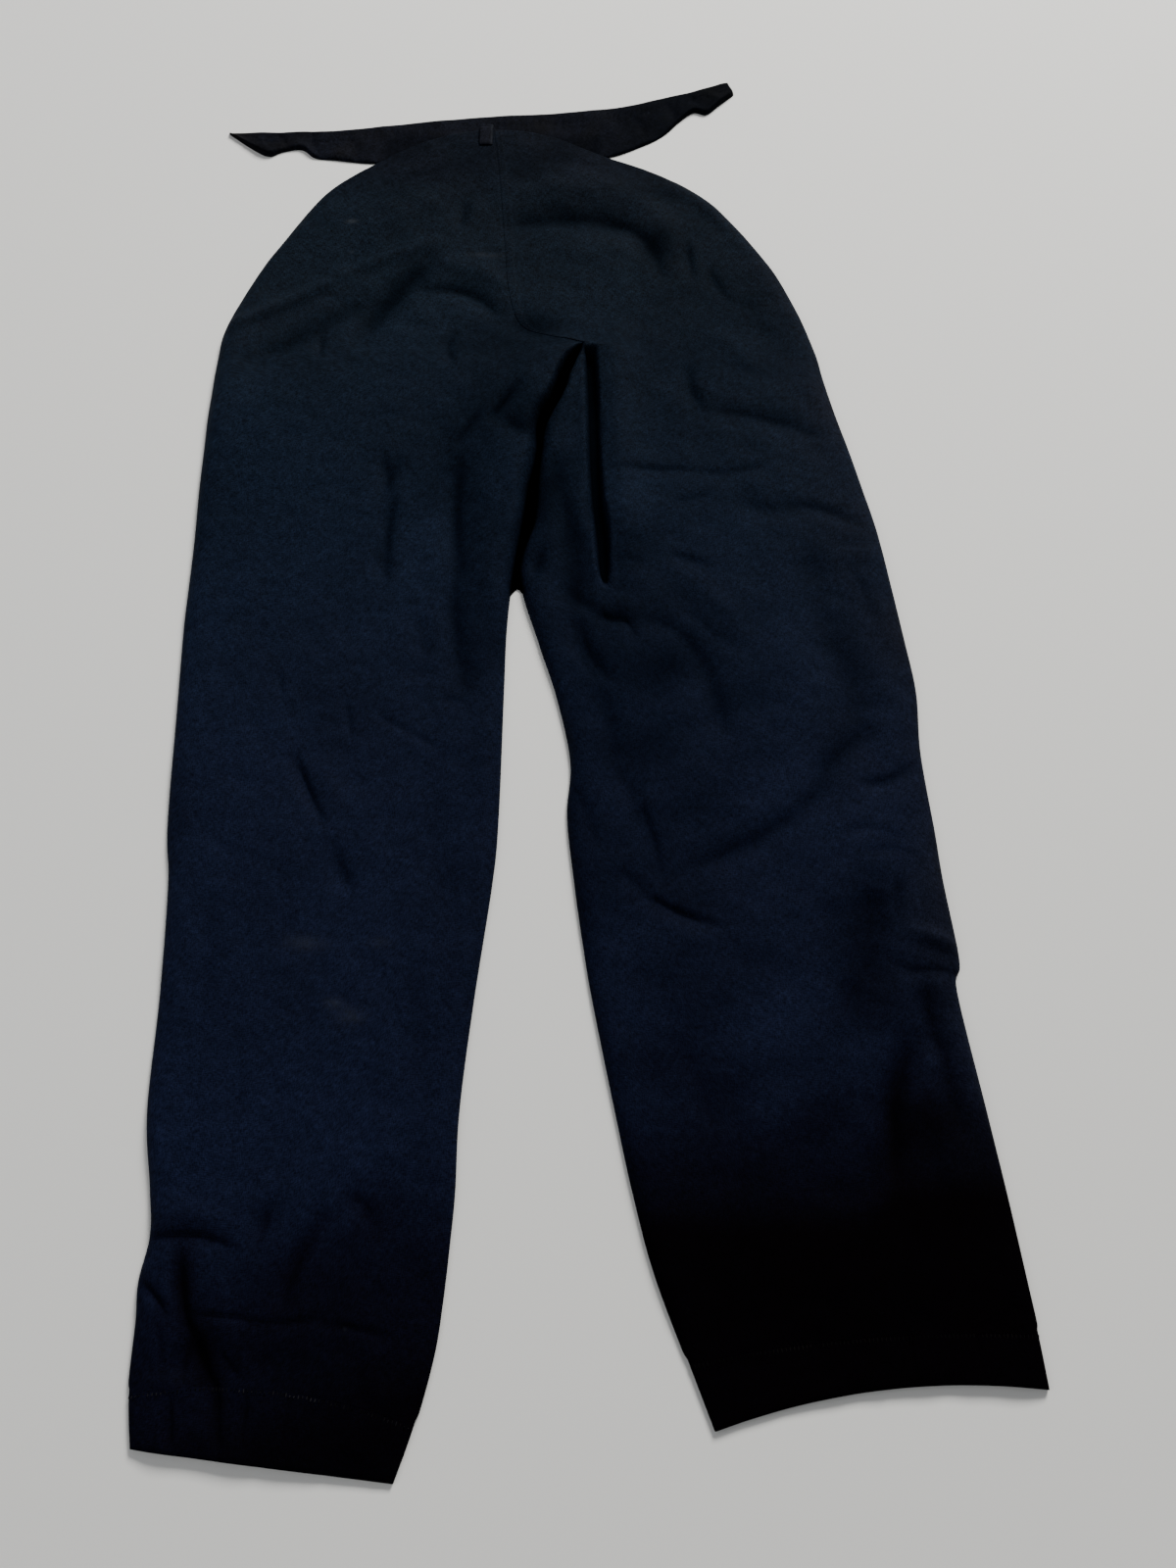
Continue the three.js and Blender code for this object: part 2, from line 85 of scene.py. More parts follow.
# start x, start y, end x, end y, sideways bend, half width, height (a trough is negative), crispness
folds = [
    # right hip
    (-46, 379, 39, 374, 8, 12, -6.4, 0.4), (38, 376, 76, 325, 10, 9, -3.4, 0.8),
    (-42, 408, 88, 352, 31, 15, 3.0, 0), (-30, 352, 52, 338, 6, 22, 2.6, 0),
    (98, 352, 101, 322, 0, 5, -2.8, 0.9), (116, 329, 127, 302, -2, 6, -2.0, 0.9),
    (80, 414, 133, 363, 6, 7, 1.8, 0), (96, 230, 104, 201, -2, 7, -3.6, 0.7),
    (103, 198, 187, 173, 4, 9, -3.2, 0.5), (145, 303, 169, 253, -4, 14, -1.6, 0.2),
    (108, 268, 148, 232, 3, 9, 1.4, 0), (-20, 446, 26, 438, 4, 8, -0.8, 0.6),
    (50, 410, 90, 388, 4, 7, -0.8, 0.5),
    # left hip
    (-261, 276, -180, 321, -4, 6, 3.8, 0), (-180, 321, -105, 358, 0, 6, 2.6, 0),
    (-246, 244, -163, 297, -2, 11, -4.6, 0.4), (-116, 336, -161, 267, -3, 11, -7.0, 0.6),
    (-112, 311, -57, 289, 11, 7.5, -5.2, 0.5), (-114, 330, -50, 312, 13, 9, 2.6, 0),
    (-108, 292, -66, 276, 6, 11, 0.3, 0), (-156, 362, -108, 404, 3, 12, 3.6, 0),
    (-82, 398, -86, 373, 0, 5, -2.4, 0.9), (-87, 264, -88, 240, -3, 5, -2.6, 0.9),
    (-190, 261, -191, 245, 0, 3.5, -2.2, 1.0), (-41, 215, -58, 187, 0, 5.5, -6.0, 0.9),
    (-69, 191, -84, 163, 0, 5, -4.2, 0.9), (-87, 162, -94, 123, 4, 11, -2.0, 0.2),
    (-42, 285, -14, 265, -3, 11, -3.8, 0.3), (-144, 418, -116, 434, 2, 6, -1.1, 0.6),
    # left thigh
    (-136, 153, -130, 124, 0, 6, -2.4, 0.8), (-125, 147, -136, 121, 0, 5, -2.4, 0.9),
    (-127, 113, -129, 53, -2, 6.5, -4.2, 0.9), (-136, 90, -134, 58, 0, 4, 1.8, 0),
    (-77, 146, -74, 56, -4, 8, -4.8, 0.7), (-79, 56, -68, -36, -3, 8, -3.8, 0.6),
    (-58, 120, -52, 30, -3, 10, 1.8, 0), (-200, -27, -197, -44, 0, 3, -1.2, 1.0),
    (-152, -47, -147, -73, 0, 2.6, -1.2, 1.0), (-180, -44, -178, -60, 0, 3, -0.6, 1.0),
    (-128, -59, -106, -70, 0, 2.2, -1.4, 1.0), (-104, -72, -88, -80, 0, 2.6, -1.5, 1.0),
    (-85, -44, -69, -47, 0, 3, -1.1, 1.0), (-46, 183, -24, 169, 0, 9, -4.4, 0.5),
    (-104, 20, -98, -20, 2, 7, -0.8, 0.5),
    # left knee and shin
    (-183, -91, -171, -117, 0, 5, -3.2, 1.0), (-172, -115, -162, -135, 0, 5, -2.8, 0.9),
    (-152, -154, -141, -181, -1, 8, -3.4, 0.6), (-166, -98, -156, -122, 0, 5, 1.0, 0),
    (-87, -137, -70, -199, 0, 12, -1.5, 0.3), (-235, -195, -229, -261, 3, 10, -1.3, 0.4),
    (-98, -236, -90, -300, 2, 10, -1.1, 0.3),
    # above and on the left hem
    (-249, -401, -222, -399, 1, 4, -2.5, 1.0), (-222, -399, -198, -406, 1, 4.5, -2.2, 1.0),
    (-244, -391, -206, -393, 3, 8, 2.0, 0), (-227, -413, -221, -446, -1, 9, -6.3, 0.9),
    (-221, -445, -200, -489, 1, 7.5, -4.8, 0.9), (-200, -487, -196, -515, 0, 5, -2.8, 0.9),
    (-208, -424, -186, -484, 1, 9, 1.0, 0), (-237, -412, -232, -452, 0, 6, 2.2, 0),
    (-251, -426, -234, -444, 2, 4.5, -2.9, 1.0), (-144, -395, -163, -438, -3, 8, -4.8, 0.9),
    (-130, -375, -114, -392, 3, 6, -2.4, 0.8), (-176, -387, -182, -403, 0, 6, -4.2, 0.7),
    (-215, -444, -180, -448, 1, 2.4, -1.7, 1.0), (-180, -448, -142, -446, -1, 2.4, -1.6, 1.0),
    (-140, -449, -102, -456, 1, 3, -1.7, 1.0), (-200, -464, -186, -479, 0, 3, -1.0, 1.0),
    (-220, -461, -221, -478, 0, 5, -4.6, 0.8), (-227, -490, -224, -513, 0, 3.4, -2.0, 1.0),
    (-182, -488, -183, -508, 0, 3, -1.8, 1.0), (-158, -490, -160, -512, 0, 3, -1.0, 1.0),
    (-240, -446, -234, -470, 1, 4, -1.2, 0.8), (-118, -470, -112, -498, 0, 4, -1.0, 0.6),
    # cloth on both sides of the pinched fold
    (37, 258, 46, 52, -1, 13, 5.0, 0), (12, 240, 20, 60, -1, 5, 0.8, 0), (-8, 150, 2, 98, 0, 8, -3.4, 0.4),
    (2, 105, 10, 33, 2, 9, -5.0, 0.3), (9, 37, 33, 17, -1, 5, -3.4, 0.8),
    (31, 18, 47, 15, 1, 4.5, -3.0, 0.8), (45, 15, 51, 3, 0, 3.5, -1.4, 0.8),
    (-8, 110, -8, 70, 0, 6, 0.6, 0), (12, 12, 31, -28, -3, 5, -5.0, 0.8),
    (6, 9, 23, -30, -3, 2.6, -2.4, 1.0), (-16, 71, -21, 50, 0, 5, -4.2, 0.8),
    (30, 38, 50, 24, -2, 5, 0.6, 0),
    # right thigh
    (37, 142, 87, 142, 1, 4.5, -1.9, 0.9), (87, 143, 146, 146, -5, 5, -1.2, 0.8),
    (81, 114, 105, 121, 0, 4.5, -1.4, 0.9), (126, 114, 167, 106, 0, 10, -2.6, 0.5),
    (167, 111, 212, 97, 4, 7, -2.0, 0.8), (81, 69, 101, 63, 0, 5.5, -1.9, 0.9),
    (39, 67, 56, 63, 0, 4, -0.8, 1.0), (73, 42, 117, -8, 4, 9, -0.8, 0.4),
    (84, 24, 108, 3, 2, 4, -1.0, 0.8), (90, 50, 126, 2, 4, 8, 1.3, 0), (58, 17, 92, -5, 4, 7, -2.4, 0.5),
    (91, -4, 112, -66, 4, 9, -4.0, 0.5), (180, 68, 184, 45, 0, 12, -2.5, 0.3),
    (182, 40, 198, -22, 0, 16, -2.4, 0.2), (195, -7, 207, -64, 3, 14, -3.8, 0.3),
    (206, 60, 222, 20, 2, 6, -1.4, 0.7),
    # right knee
    (43, -104, 66, -172, 4, 7, -2.8, 0.8), (42, -172, 60, -189, 0, 4, -2.3, 1.0),
    (60, -189, 101, -207, -2, 4.5, -2.8, 1.0), (56, -200, 98, -220, -3, 8, 0.9, 0),
    (205, -72, 171, -116, -5, 10, -4.6, 0.5), (170, -116, 80, -168, 6, 9, -3.6, 0.6),
    (196, -92, 160, -134, -3, 8, 1.2, 0), (236, -96, 204, -108, 3, 6, -2.8, 0.9),
    (179, -146, 226, -146, 6, 4.5, -0.9, 0.9), (206, -156, 236, -160, 3, 4, -1.0, 0.8),
    (26, -39, 36, -95, 3, 8, -2.8, 0.5), (8, -110, 22, -150, 2, 6, -2.0, 0.6),
    (110, -228, 150, -244, 3, 10, -1.1, 0.3),
    # right calf
    (210, -184, 199, -218, 3, 15, -5.0, 0.5), (205, -216, 189, -244, 2, 15, -3.4, 0.4),
    (184, -242, 192, -266, 0, 13, -2.1, 0.3), (225, -179, 221, -198, 0, 5, -2.6, 0.9),
    (180, -200, 174, -230, 0, 9, -1.0, 0.3), (230, -213, 258, -224, 1, 5, 3.8, 0),
    (214, -229, 228, -237, -1, 5, -0.7, 1.0), (226, -237, 256, -238, 1, 5, -1.2, 1.0),
    (222, -248, 250, -248, 1, 6, 1.0, 0), (236, -248, 243, -290, -2, 7, -3.5, 0.8),
    (243, -288, 250, -334, -1, 7, -2.6, 0.7), (252, -262, 263, -332, -2, 7, 3.2, 0),
    (226, -285, 209, -330, -2, 9, -6.6, 0.6), (209, -326, 207, -366, 0, 6, -5.0, 0.6),
    (90, -316, 97, -344, 0, 8, -1.8, 0.4), (107, -314, 114, -342, 0, 8, -2.0, 0.4),
    (78, -286, 92, -319, 0, 7, -1.1, 0.4), (234, -360, 244, -420, 2, 8, -1.6, 0.5),
    (150, -440, 154, -468, 0, 3, -1.0, 0.8), (206, -452, 210, -478, 0, 3, -1.2, 0.8),
    (246, -450, 250, -476, 0, 4, -1.0, 0.8),
]
# how a crisp trough drops: its steep wall, gentle far side and painted shade are placed in half widths
# of the fold, and the shade is for each millimetre of its height
crisp = {
    "wall": 0.34, "farSide": 1.5, "gain": 1.15, "shadePlace": 0.2, "shadeWidth": 0.75,
    "shade": 0.125, "softShade": 0.55,
}
lightFrom = (0.42, 0.91)  # horizontal way towards the main light, which the gentle sides face


def clamp01(value):
    return np.clip(value, 0.0, 1.0)


def smoothStep(low, high, value):
    t = clamp01((value - low) / (high - low))
    return t * t * (3 - 2 * t)


def foldForm(x, y, rows, tip=0.15, inset=0.04):
    # height of all folds together, and the shade painted on their steep sides
    # tip and inset set how high a fold still is where it starts and ends
    total = np.zeros_like(x)
    shade = np.zeros_like(x)
    for startX, startY, endX, endY, bend, width, height, crispness in rows:
        dx, dy = endX - startX, endY - startY
        length = math.hypot(dx, dy)
        along = ((x - startX) * dx + (y - startY) * dy) / length**2
        t = clamp01(along)
        side = ((y - startY) * dx - (x - startX) * dy) / length
        towards = 1 if dx * lightFrom[1] - dy * lightFrom[0] > 0 else -1
        away = -towards * (side - bend * 4 * t * (1 - t)) / width
        beyond = (along - t) * length / width
        fade = tip + (1 - tip) * np.sqrt(np.sin(math.pi * (inset + (1 - 2 * inset) * t)))
        fade = fade * np.exp(-beyond * beyond)
        wall = 0.5 * (1 + np.tanh(away / crisp["wall"]))
        steep = wall * np.exp(-(np.maximum(away, 0) / crisp["farSide"]) ** 2) * crisp["gain"]
        soft = np.exp(-away * away)
        total += height * fade * (steep * crispness + soft * (1 - crispness))
        if height < 0:
            line = np.exp(-(((away - crisp["shadePlace"]) / crisp["shadeWidth"]) ** 2))
            line = line * crispness + crisp["softShade"] * soft * (1 - crispness)
            shade += -height * crisp["shade"] * fade * line
    return total, clamp01(shade)


def ripple(x, y, size, seed, waves=28):
    # smooth unevenness of about unit height, the sum of plane waves in all directions
    dice = np.random.default_rng(seed)
    total = np.zeros_like(x)
    for _ in range(waves):
        angle = dice.uniform(0, math.pi)
        pace = 2 * math.pi / (size * dice.uniform(0.7, 1.8))
        phase = dice.uniform(0, 2 * math.pi)
        total += np.sin(pace * (math.cos(angle) * x + math.sin(angle) * y) + phase)
    return total / math.sqrt(waves / 2)


def sideSections(rise, leg, side, seamGap, cornerEase):
    rows = []
    for i, row in enumerate(rise):
        named = dict(zip(riseNames, row))
        before = centreSeam[max(0, i - 1)]
        after = centreSeam[min(crotchRow, i + 1)]
        length = math.hypot(after[0] - before[0], after[1] - before[1])
        across = ((before[1] - after[1]) / length, (after[0] - before[0]) / length)
        ease = cornerEase if i == crotchRow and side < 0 else 0
        named["innerX"] = centreSeam[i][0] + across[0] * side * seamGap / 2 - ease
        named["innerY"] = centreSeam[i][1] + across[1] * side * seamGap / 2
        named["innerRoll"] = 0.0
        rows.append(named)
    for row in leg:
        rows.append({**dict(zip(legNames, row)), "innerRoll": 1.0})
    return {name: np.array([float(row[name]) for row in rows]) for name in rows[0]}


def spline(a, b, c, d, t):
    return b + 0.5 * t * (c - a + t * (2 * a - 5 * b + 4 * c - d + t * (3 * b - 3 * c + d - a)))


def refine(sections, first, last, pitch):
    # rows about pitch apart, smooth above and below the crotch's corner
    count = len(sections["outerX"])
    out = {name: [] for name in sections}
    for i in range(first, last):
        smooth = [min(count - 1, max(0, k)) for k in (i - 1, i, i + 1, i + 2)]
        cornered = [min(k, crotchRow) if i < crotchRow else max(k, crotchRow) for k in smooth]
        outer = math.hypot(sections["outerX"][i + 1] - sections["outerX"][i],
                           sections["outerY"][i + 1] - sections["outerY"][i])
        inner = math.hypot(sections["innerX"][i + 1] - sections["innerX"][i],
                           sections["innerY"][i + 1] - sections["innerY"][i])
        steps = max(1, math.ceil(max(outer, inner) / pitch))
        t = np.arange(steps) / steps
        for name, values in sections.items():
            near = smooth if name.startswith("outer") or name.endswith("Lift") else cornered
            out[name].append(spline(*(values[k] for k in near), t))
    for name, values in sections.items():
        out[name].append(values[last:last + 1])
    return {name: np.concatenate(parts) for name, parts in out.items()}


def spread(start, end, count):
    # count columns per row from start up to, but not with, end
    part = np.arange(count) / count
    return start[:, None] + (end - start)[:, None] * part


def addRows(sections, low, share):
    # more rows between row low and the next, at this share of the way or these shares
    made = {}
    for name, values in sections.items():
        made[name] = np.insert(values, low + 1, values[low] + (values[low + 1] - values[low]) * share)
    return made


def closeAtEnds(count):
    # shares from 0 to 1, closer together at both ends
    return (1 - np.cos(np.linspace(0, math.pi, count))) / 2


def rowWidth(sections):
    return np.hypot(sections["outerX"] - sections["innerX"], sections["outerY"] - sections["innerY"])


def placeOnSections(sections, distance):
    # x and y at each distance from the inner edge, along the rows' bowed lines
    u = distance / rowWidth(sections)[:, None]
    x = sections["innerX"][:, None] + (sections["outerX"] - sections["innerX"])[:, None] * u
    y = sections["innerY"][:, None] + (sections["outerY"] - sections["innerY"])[:, None] * u
    return x, y + sections["bow"][:, None] * 4 * u * (1 - u)


def pointGrid(x, y, z):
    return np.stack([x, y, z + np.zeros_like(x)], axis=-1)


def wallOffset(under, wall, upright):
    # the wall stands square to the cloth, or straight up where upright is 1
    down = np.gradient(under, axis=0)
    across = np.gradient(under, axis=1)
    normal = np.cross(down, across)
    normal /= np.maximum(np.linalg.norm(normal, axis=2, keepdims=True), 1e-12)
    normal *= np.where(normal[..., 2:] < 0, -1.0, 1.0)
    normal = normal * (1 - upright[..., None]) + np.array([0, 0, 1.0]) * upright[..., None]
    normal /= np.linalg.norm(normal, axis=2, keepdims=True)
    return under + normal * wall


def shellObject(name, under, over, uv, marks):
    # closed wall between two grids given in millimetres; marks are named values for the material
    rows, columns = under.shape[:2]
    points = np.concatenate([over.reshape(-1, 3), under.reshape(-1, 3)])
    points = (points + np.array([shiftX, shiftY, 0])) * mm
    index = np.arange(rows * columns).reshape(rows, columns)
    a, b, c, d = index[:-1, :-1], index[1:, :-1], index[1:, 1:], index[:-1, 1:]
    top = np.stack([a, b, c, d], axis=-1).reshape(-1, 4)
    bottom = top[:, ::-1] + rows * columns
    rim = np.concatenate([index[0, ::-1], index[1:, 0], index[-1, 1:], index[-2::-1, -1]])
    rimQuads = np.stack([rim[:-1], rim[:-1] + rows * columns, rim[1:] + rows * columns, rim[1:]], axis=-1)
    faces = np.concatenate([top, bottom, rimQuads])
    first, second, third = points[top[:, 0]], points[top[:, 1]], points[top[:, 2]]
    if np.cross(second - first, third - first)[:, 2].sum() < 0:
        faces = faces[:, ::-1]
    mesh = bpy.data.meshes.new(name)
    mesh.from_pydata(points.tolist(), [], faces.tolist())
    flatUv = np.concatenate([uv.reshape(-1, 2), uv.reshape(-1, 2)])
    layer = mesh.uv_layers.new(name="cloth")
    loopVertex = np.empty(len(mesh.loops), dtype=np.int32)
    mesh.loops.foreach_get("vertex_index", loopVertex)
    layer.data.foreach_set("uv", (flatUv[loopVertex] * mm).astype(np.float32).ravel())
    for markName, values in marks.items():
        attribute = mesh.attributes.new(markName, "FLOAT", "POINT")
        both = np.concatenate([values.ravel(), values.ravel()])
        attribute.data.foreach_set("value", both.astype(np.float32))
    mesh.polygons.foreach_set("use_smooth", np.ones(len(mesh.polygons), dtype=bool))
    mesh.update()
    made = bpy.data.objects.new(name, mesh)
    bpy.context.scene.collection.objects.link(made)
    return made


# Marks painted on the cloth by place: dust and painted highlights, painted shade, warmth of the tone, and how
# far down the leg it is
# dust and painted highlights: x, y, half length across, half length along, strength
dustAndHighlightSpots = [
    (-169, -220, 13, 5, 0.20), (-120, -220, 8, 3, 0.12), (-147, -260, 6, 3, 0.24), (-136, -268, 9, 5, 0.24),
    (-176, 377, 4, 1.6, 0.9), (-66, 345, 14, 2.2, 0.30), (-128, -452, 1.0, 1.0, 1.0),
    (-174, 345, 1.5, 1, 0.4), (-150, 487, 9, 1.6, 0.16), (-122, 492, 13, 1.4, 0.14), (-92, 478, 8, 3, 0.10),
    (84, 494, 5, 9, 0.08), (-214, 284, 56, 34, 0.06), (-250, 262, 24, 60, 0.06), (-9, 320, 50, 34, 0.028),
    (-190, 250, 60, 40, 0.014), (-230, -479, 14, 4, 0.10), (0, -60, 2, 10, 0.22), (4, -84, 2, 15, 0.28),
]
# broad areas of painted shade: x, y, half length across, half length along, strength
paintedShadeAreas = [
    (-64, 60, 26, 120, 0.28), (4, 140, 16, 70, 0.16), (60, -60, 120, 110, 0.28), (60, -240, 130, 100, 0.28),
    (10, -90, 26, 120, 0.18), (196, -232, 26, 46, 0.36), (228, -330, 22, 62, 0.34),
    (211, -325, 7, 34, 0.16), (204, -360, 6, 20, 0.12), (-60, 268, 40, 16, 0.14),
    (-140, -440, 60, 44, 0.20), (-92, 150, 20, 50, 0.10), (190, 10, 26, 60, 0.12), (4, 50, 9, 30, 0.42),
    (8, 38, 6, 16, 0.25), (28, 20, 18, 8, 0.22), (-211, -467, 7, 26, 0.45), (-36, 205, 34, 50, 0.32),
    (60, 120, 70, 120, 0.16), (-14, 122, 11, 34, 0.62), (-64, 180, 30, 30, 0.14), (-18, 58, 14, 20, 0.18),
    (-50, 452, 180, 40, 0.36), (-24, 276, 20, 10, 0.34), (70, 352, 14, 26, 0.30), (54, 402, 34, 14, 0.20),
    (130, 310, 60, 110, 0.26), (242, -290, 16, 60, 0.32), (162, -328, 60, 44, 0.32),
    (90, -310, 50, 40, 0.14), (30, 372, 56, 14, 0.14), (-130, 410, 50, 34, 0.14), (-226, -425, 7, 24, 0.35),
    (-228, -396, 26, 14, 0.18), (-112, -395, 30, 34, 0.28), (-134, 80, 34, 50, 0.12),
    (96, -30, 50, 50, 0.12), (50, 60, 18, 30, 0.12), (216, -305, 20, 50, 0.12), (52, -140, 24, 30, 0.14),
    (78, -34, 22, 46, 0.19), (188, -95, 15, 22, 0.24), (4, 70, 10, 32, 0.22),
]
paintedShadeUneven = {"share": 0.25, "size": 60}
# painted shadow over the hems: from this height down to that one, and how dark
paintedHemShadow = {
    "left": ((-365, -470, 0.66), (-470, -530, 0.26)), "right": ((-305, -378, 0.70), (-372, -402, 0.26)),
}
# the painted shadow starts sooner towards the left leg's inner edge and the right leg's outer edge
hemShadowSlant = {"perX": 0.32, "fromX": -175, "outerRise": 18, "outerX": (180, 210)}
warmEdge = {"fromX": 150, "toX": 260, "slant": 0.12, "strength": 0.75}
warmTop = {"fromY": 395, "toY": 455, "strength": 0.7}
warmPatches = {"least": 0.75, "share": 0.35, "size": 90}
ends = {"top": 480, "low": -520}


def spotSum(x, y, spots):
    total = np.zeros_like(x)
    for spotX, spotY, halfAcross, halfAlong, strength in spots:
        total += strength * np.exp(-(((x - spotX) / halfAcross) ** 2) - ((y - spotY) / halfAlong) ** 2)
    return total


def hemShadowMark(x, y, side):
    if side == "left":
        slant = hemShadowSlant["perX"] * (x - hemShadowSlant["fromX"])
    else:
        slant = hemShadowSlant["outerRise"] * smoothStep(*hemShadowSlant["outerX"], x)
    return sum(depth * smoothStep(high, low, y - slant) for high, low, depth in paintedHemShadow[side])


def paintedShadeMark(x, y):
    uneven = 1 + paintedShadeUneven["share"] * ripple(x, y, paintedShadeUneven["size"], 57)
    return clamp01(spotSum(x, y, paintedShadeAreas) * uneven)


def warmMark(x, y):
    slanted = x + warmEdge["slant"] * y
    edge = smoothStep(warmEdge["fromX"], warmEdge["toX"], slanted) * warmEdge["strength"]
    top = smoothStep(warmTop["fromY"], warmTop["toY"], y) * warmTop["strength"]
    patches = warmPatches["least"] + warmPatches["share"] * ripple(x, y, warmPatches["size"], 51)
    return clamp01(np.maximum(edge, top) * patches)


def clothMarks(x, y, shade, warm=0.0, dustAndHighlightShare=1.0):
    marks = {
        "dustAndHighlight": dustAndHighlightShare * spotSum(x, y, dustAndHighlightSpots), "shade": shade, "warm": warm,
        "down": (ends["top"] - y) / (ends["top"] - ends["low"]),
    }
    return {name: clamp01(values + np.zeros_like(x)) for name, values in marks.items()}


# The cloth's finish, with its painted shade and painted highlights
nodesInRow = 8


def addNode(tree, kind, feeds=None, **settings):
    # feeds gives an input its plain value, or the output that drives it
    node = tree.nodes.new(kind)
    node.location = (300 * (len(tree.nodes) % nodesInRow), -400 * (len(tree.nodes) // nodesInRow))
    for name, value in settings.items():
        setattr(node, name, value)
    for name, value in (feeds or {}).items():
        if isinstance(value, bpy.types.NodeSocket):
            tree.links.new(value, node.inputs[name])
        else:
            node.inputs[name].default_value = value
    return node


def addRange(tree, value, low, high, start=0.0, end=1.0):
    feeds = {"Value": value, "From Min": low, "From Max": high, "To Min": start, "To Max": end}
    return addNode(tree, "ShaderNodeMapRange", feeds).outputs["Result"]


def addNoise(tree, vector, scale, detail=2.0, roughness=0.5):
    feeds = {"Vector": vector, "Scale": scale, "Detail": detail, "Roughness": roughness}
    return addNode(tree, "ShaderNodeTexNoise", feeds).outputs["Fac"]


def addMath(tree, operation, first, second, **settings):
    node = addNode(tree, "ShaderNodeMath", {0: first, 1: second}, operation=operation, **settings)
    return node.outputs["Value"]


def addScale(tree, vector, scale):
    feeds = {"Vector": vector, "Scale": scale}
    return addNode(tree, "ShaderNodeVectorMath", feeds, operation="SCALE").outputs["Vector"]


def addMix(tree, factor, first, second):
    feeds = {"Factor": factor, "A": first, "B": second}
    return addNode(tree, "ShaderNodeMix", feeds, data_type="RGBA").outputs["Result"]


bandScale = 0.314  # the wave texture's scale that gives one band per unit of length
slubStretches = ((500, 2600, 1), (2600, 500, 1))


def clothMaterial(name, look):
    material = bpy.data.materials.new(name)
    material.use_nodes = True
    tree = material.node_tree
    tree.nodes.clear()
    uv = addNode(tree, "ShaderNodeUVMap", uv_map="cloth").outputs["UV"]
    place = addNode(tree, "ShaderNodeTexCoord").outputs["Object"]
    marks = {}
    for mark in ("down", "warm", "dustAndHighlight", "shade"):
        marks[mark] = addNode(tree, "ShaderNodeAttribute", attribute_name=mark).outputs["Fac"]

    # warp and weft threads
    feeds = {"Vector": uv, "Scale": bandScale / (look["threadPitch"] * mm), "Distortion": 1.2, "Detail": 1.0}
    threads = []
    for way in ("X", "Y"):
        wave = addNode(tree, "ShaderNodeTexWave", feeds, wave_type="BANDS", bands_direction=way)
        threads.append(wave.outputs["Fac"])
    weave = addMath(tree, "MULTIPLY", *threads)

    # slubs: short thick stretches of thread, lying both ways
    slubs = []
    for stretch in slubStretches:
        mapping = addNode(tree, "ShaderNodeMapping", {"Vector": uv, "Scale": stretch})
        slubs.append(addNoise(tree, mapping.outputs["Vector"], look["slubScale"]))
    slub = addMath(tree, "ADD", *slubs)

    # the dye's tone down the leg, its warmer parts, and a broad fading
    tone = addNode(tree, "ShaderNodeValToRGB", {"Fac": marks["down"]})
    ramp = tone.color_ramp
    while len(ramp.elements) < len(look["tones"]):
        ramp.elements.new(0.5)
    for element, (share, color) in zip(ramp.elements, look["tones"]):
        element.position = share
        element.color = (*color, 1)
    warmed = addMix(tree, marks["warm"], tone.outputs["Color"], (*look["warm"], 1))
    fade = addNoise(tree, place, look["fadeScale"], 5.0)
    faded = addScale(tree, warmed, addRange(tree, fade, 0.35, 0.65, 1 - look["fade"], 1 + look["fade"]))

    # threads and slubs lighten and darken the dye a little, most at the hips
    grain = addRange(tree, slub, 0.75, 1.25, 1 - look["slubDepth"], 1 + look["slubDepth"])
    mottle = addNoise(tree, place, look["mottleScale"], 4.0, 0.65)
    mottleShare = addRange(tree, mottle, 0.3, 0.7, 1 - look["mottle"], 1 + look["mottle"])
    hips = addRange(tree, marks["down"], 0.0, 0.5, look["hipGrain"], 1.0)
    feeds = {"Factor": hips, "A": 1.0, "B": addMath(tree, "MULTIPLY", grain, mottleShare)}
    contrast = addNode(tree, "ShaderNodeMix", feeds, clamp_factor=False)
    grained = addScale(tree, faded, contrast.outputs["Result"])

    # lint, and dust with painted highlights
    lint = addNode(tree, "ShaderNodeTexVoronoi", {"Vector": place, "Scale": look["lintScale"]})
    lintDot = addRange(tree, lint.outputs["Distance"], look["lintSize"], 0.0, 0.0, look["lint"])
    dustAndHighlightPatches = addMath(tree, "MULTIPLY", marks["dustAndHighlight"], addNoise(tree, place, look["dustAndHighlightScale"], 3.0))
    dustAndHighlightShare = addMath(tree, "ADD", lintDot, dustAndHighlightPatches, use_clamp=True)
    pale = addMix(tree, dustAndHighlightShare, grained, (*look["dustAndHighlight"], 1))

    # painted shade: the painted shadow over the hems and the shade in folds, nearly black where the shade is
    # full
    nearHem = addRange(tree, marks["down"], 0.6, 0.85)
    shadeColor = addMix(tree, nearHem, (*look["foldShadeColor"], 1), (*look["dark"], 1))
    dark = addMix(tree, marks["shade"], pale, shadeColor)
    black = addScale(tree, dark, addRange(tree, marks["shade"], 0.985, 0.999, 1.0, 0.15))

    # relief of small crumples, slubs and threads
    crumple = addNoise(tree, place, look["crumpleScale"], 3.0)
    feeds = {"Strength": 1.0}
    for source, height in ((crumple, look["crumple"]), (slub, look["slub"]), (weave, look["thread"])):
        feeds.update({"Height": source, "Distance": height * mm})
        feeds["Normal"] = addNode(tree, "ShaderNodeBump", feeds).outputs["Normal"]

    # shine and sheen fade out under the painted shade
    shader = addNode(tree, "ShaderNodeBsdfPrincipled", {
        "Base Color": black, "Roughness": look["roughness"], "Normal": feeds["Normal"],
        "Specular IOR Level": addRange(tree, marks["shade"], 0.0, 1.0, look["specular"], 0.0),
        "Sheen Weight": addRange(tree, marks["shade"], 0.0, 1.0, look["sheen"], 0.0),
        "Sheen Roughness": look["sheenRoughness"], "Sheen Tint": (*look["sheenTint"], 1),
    })
    addNode(tree, "ShaderNodeOutputMaterial", {"Surface": shader.outputs["BSDF"]})
    return material


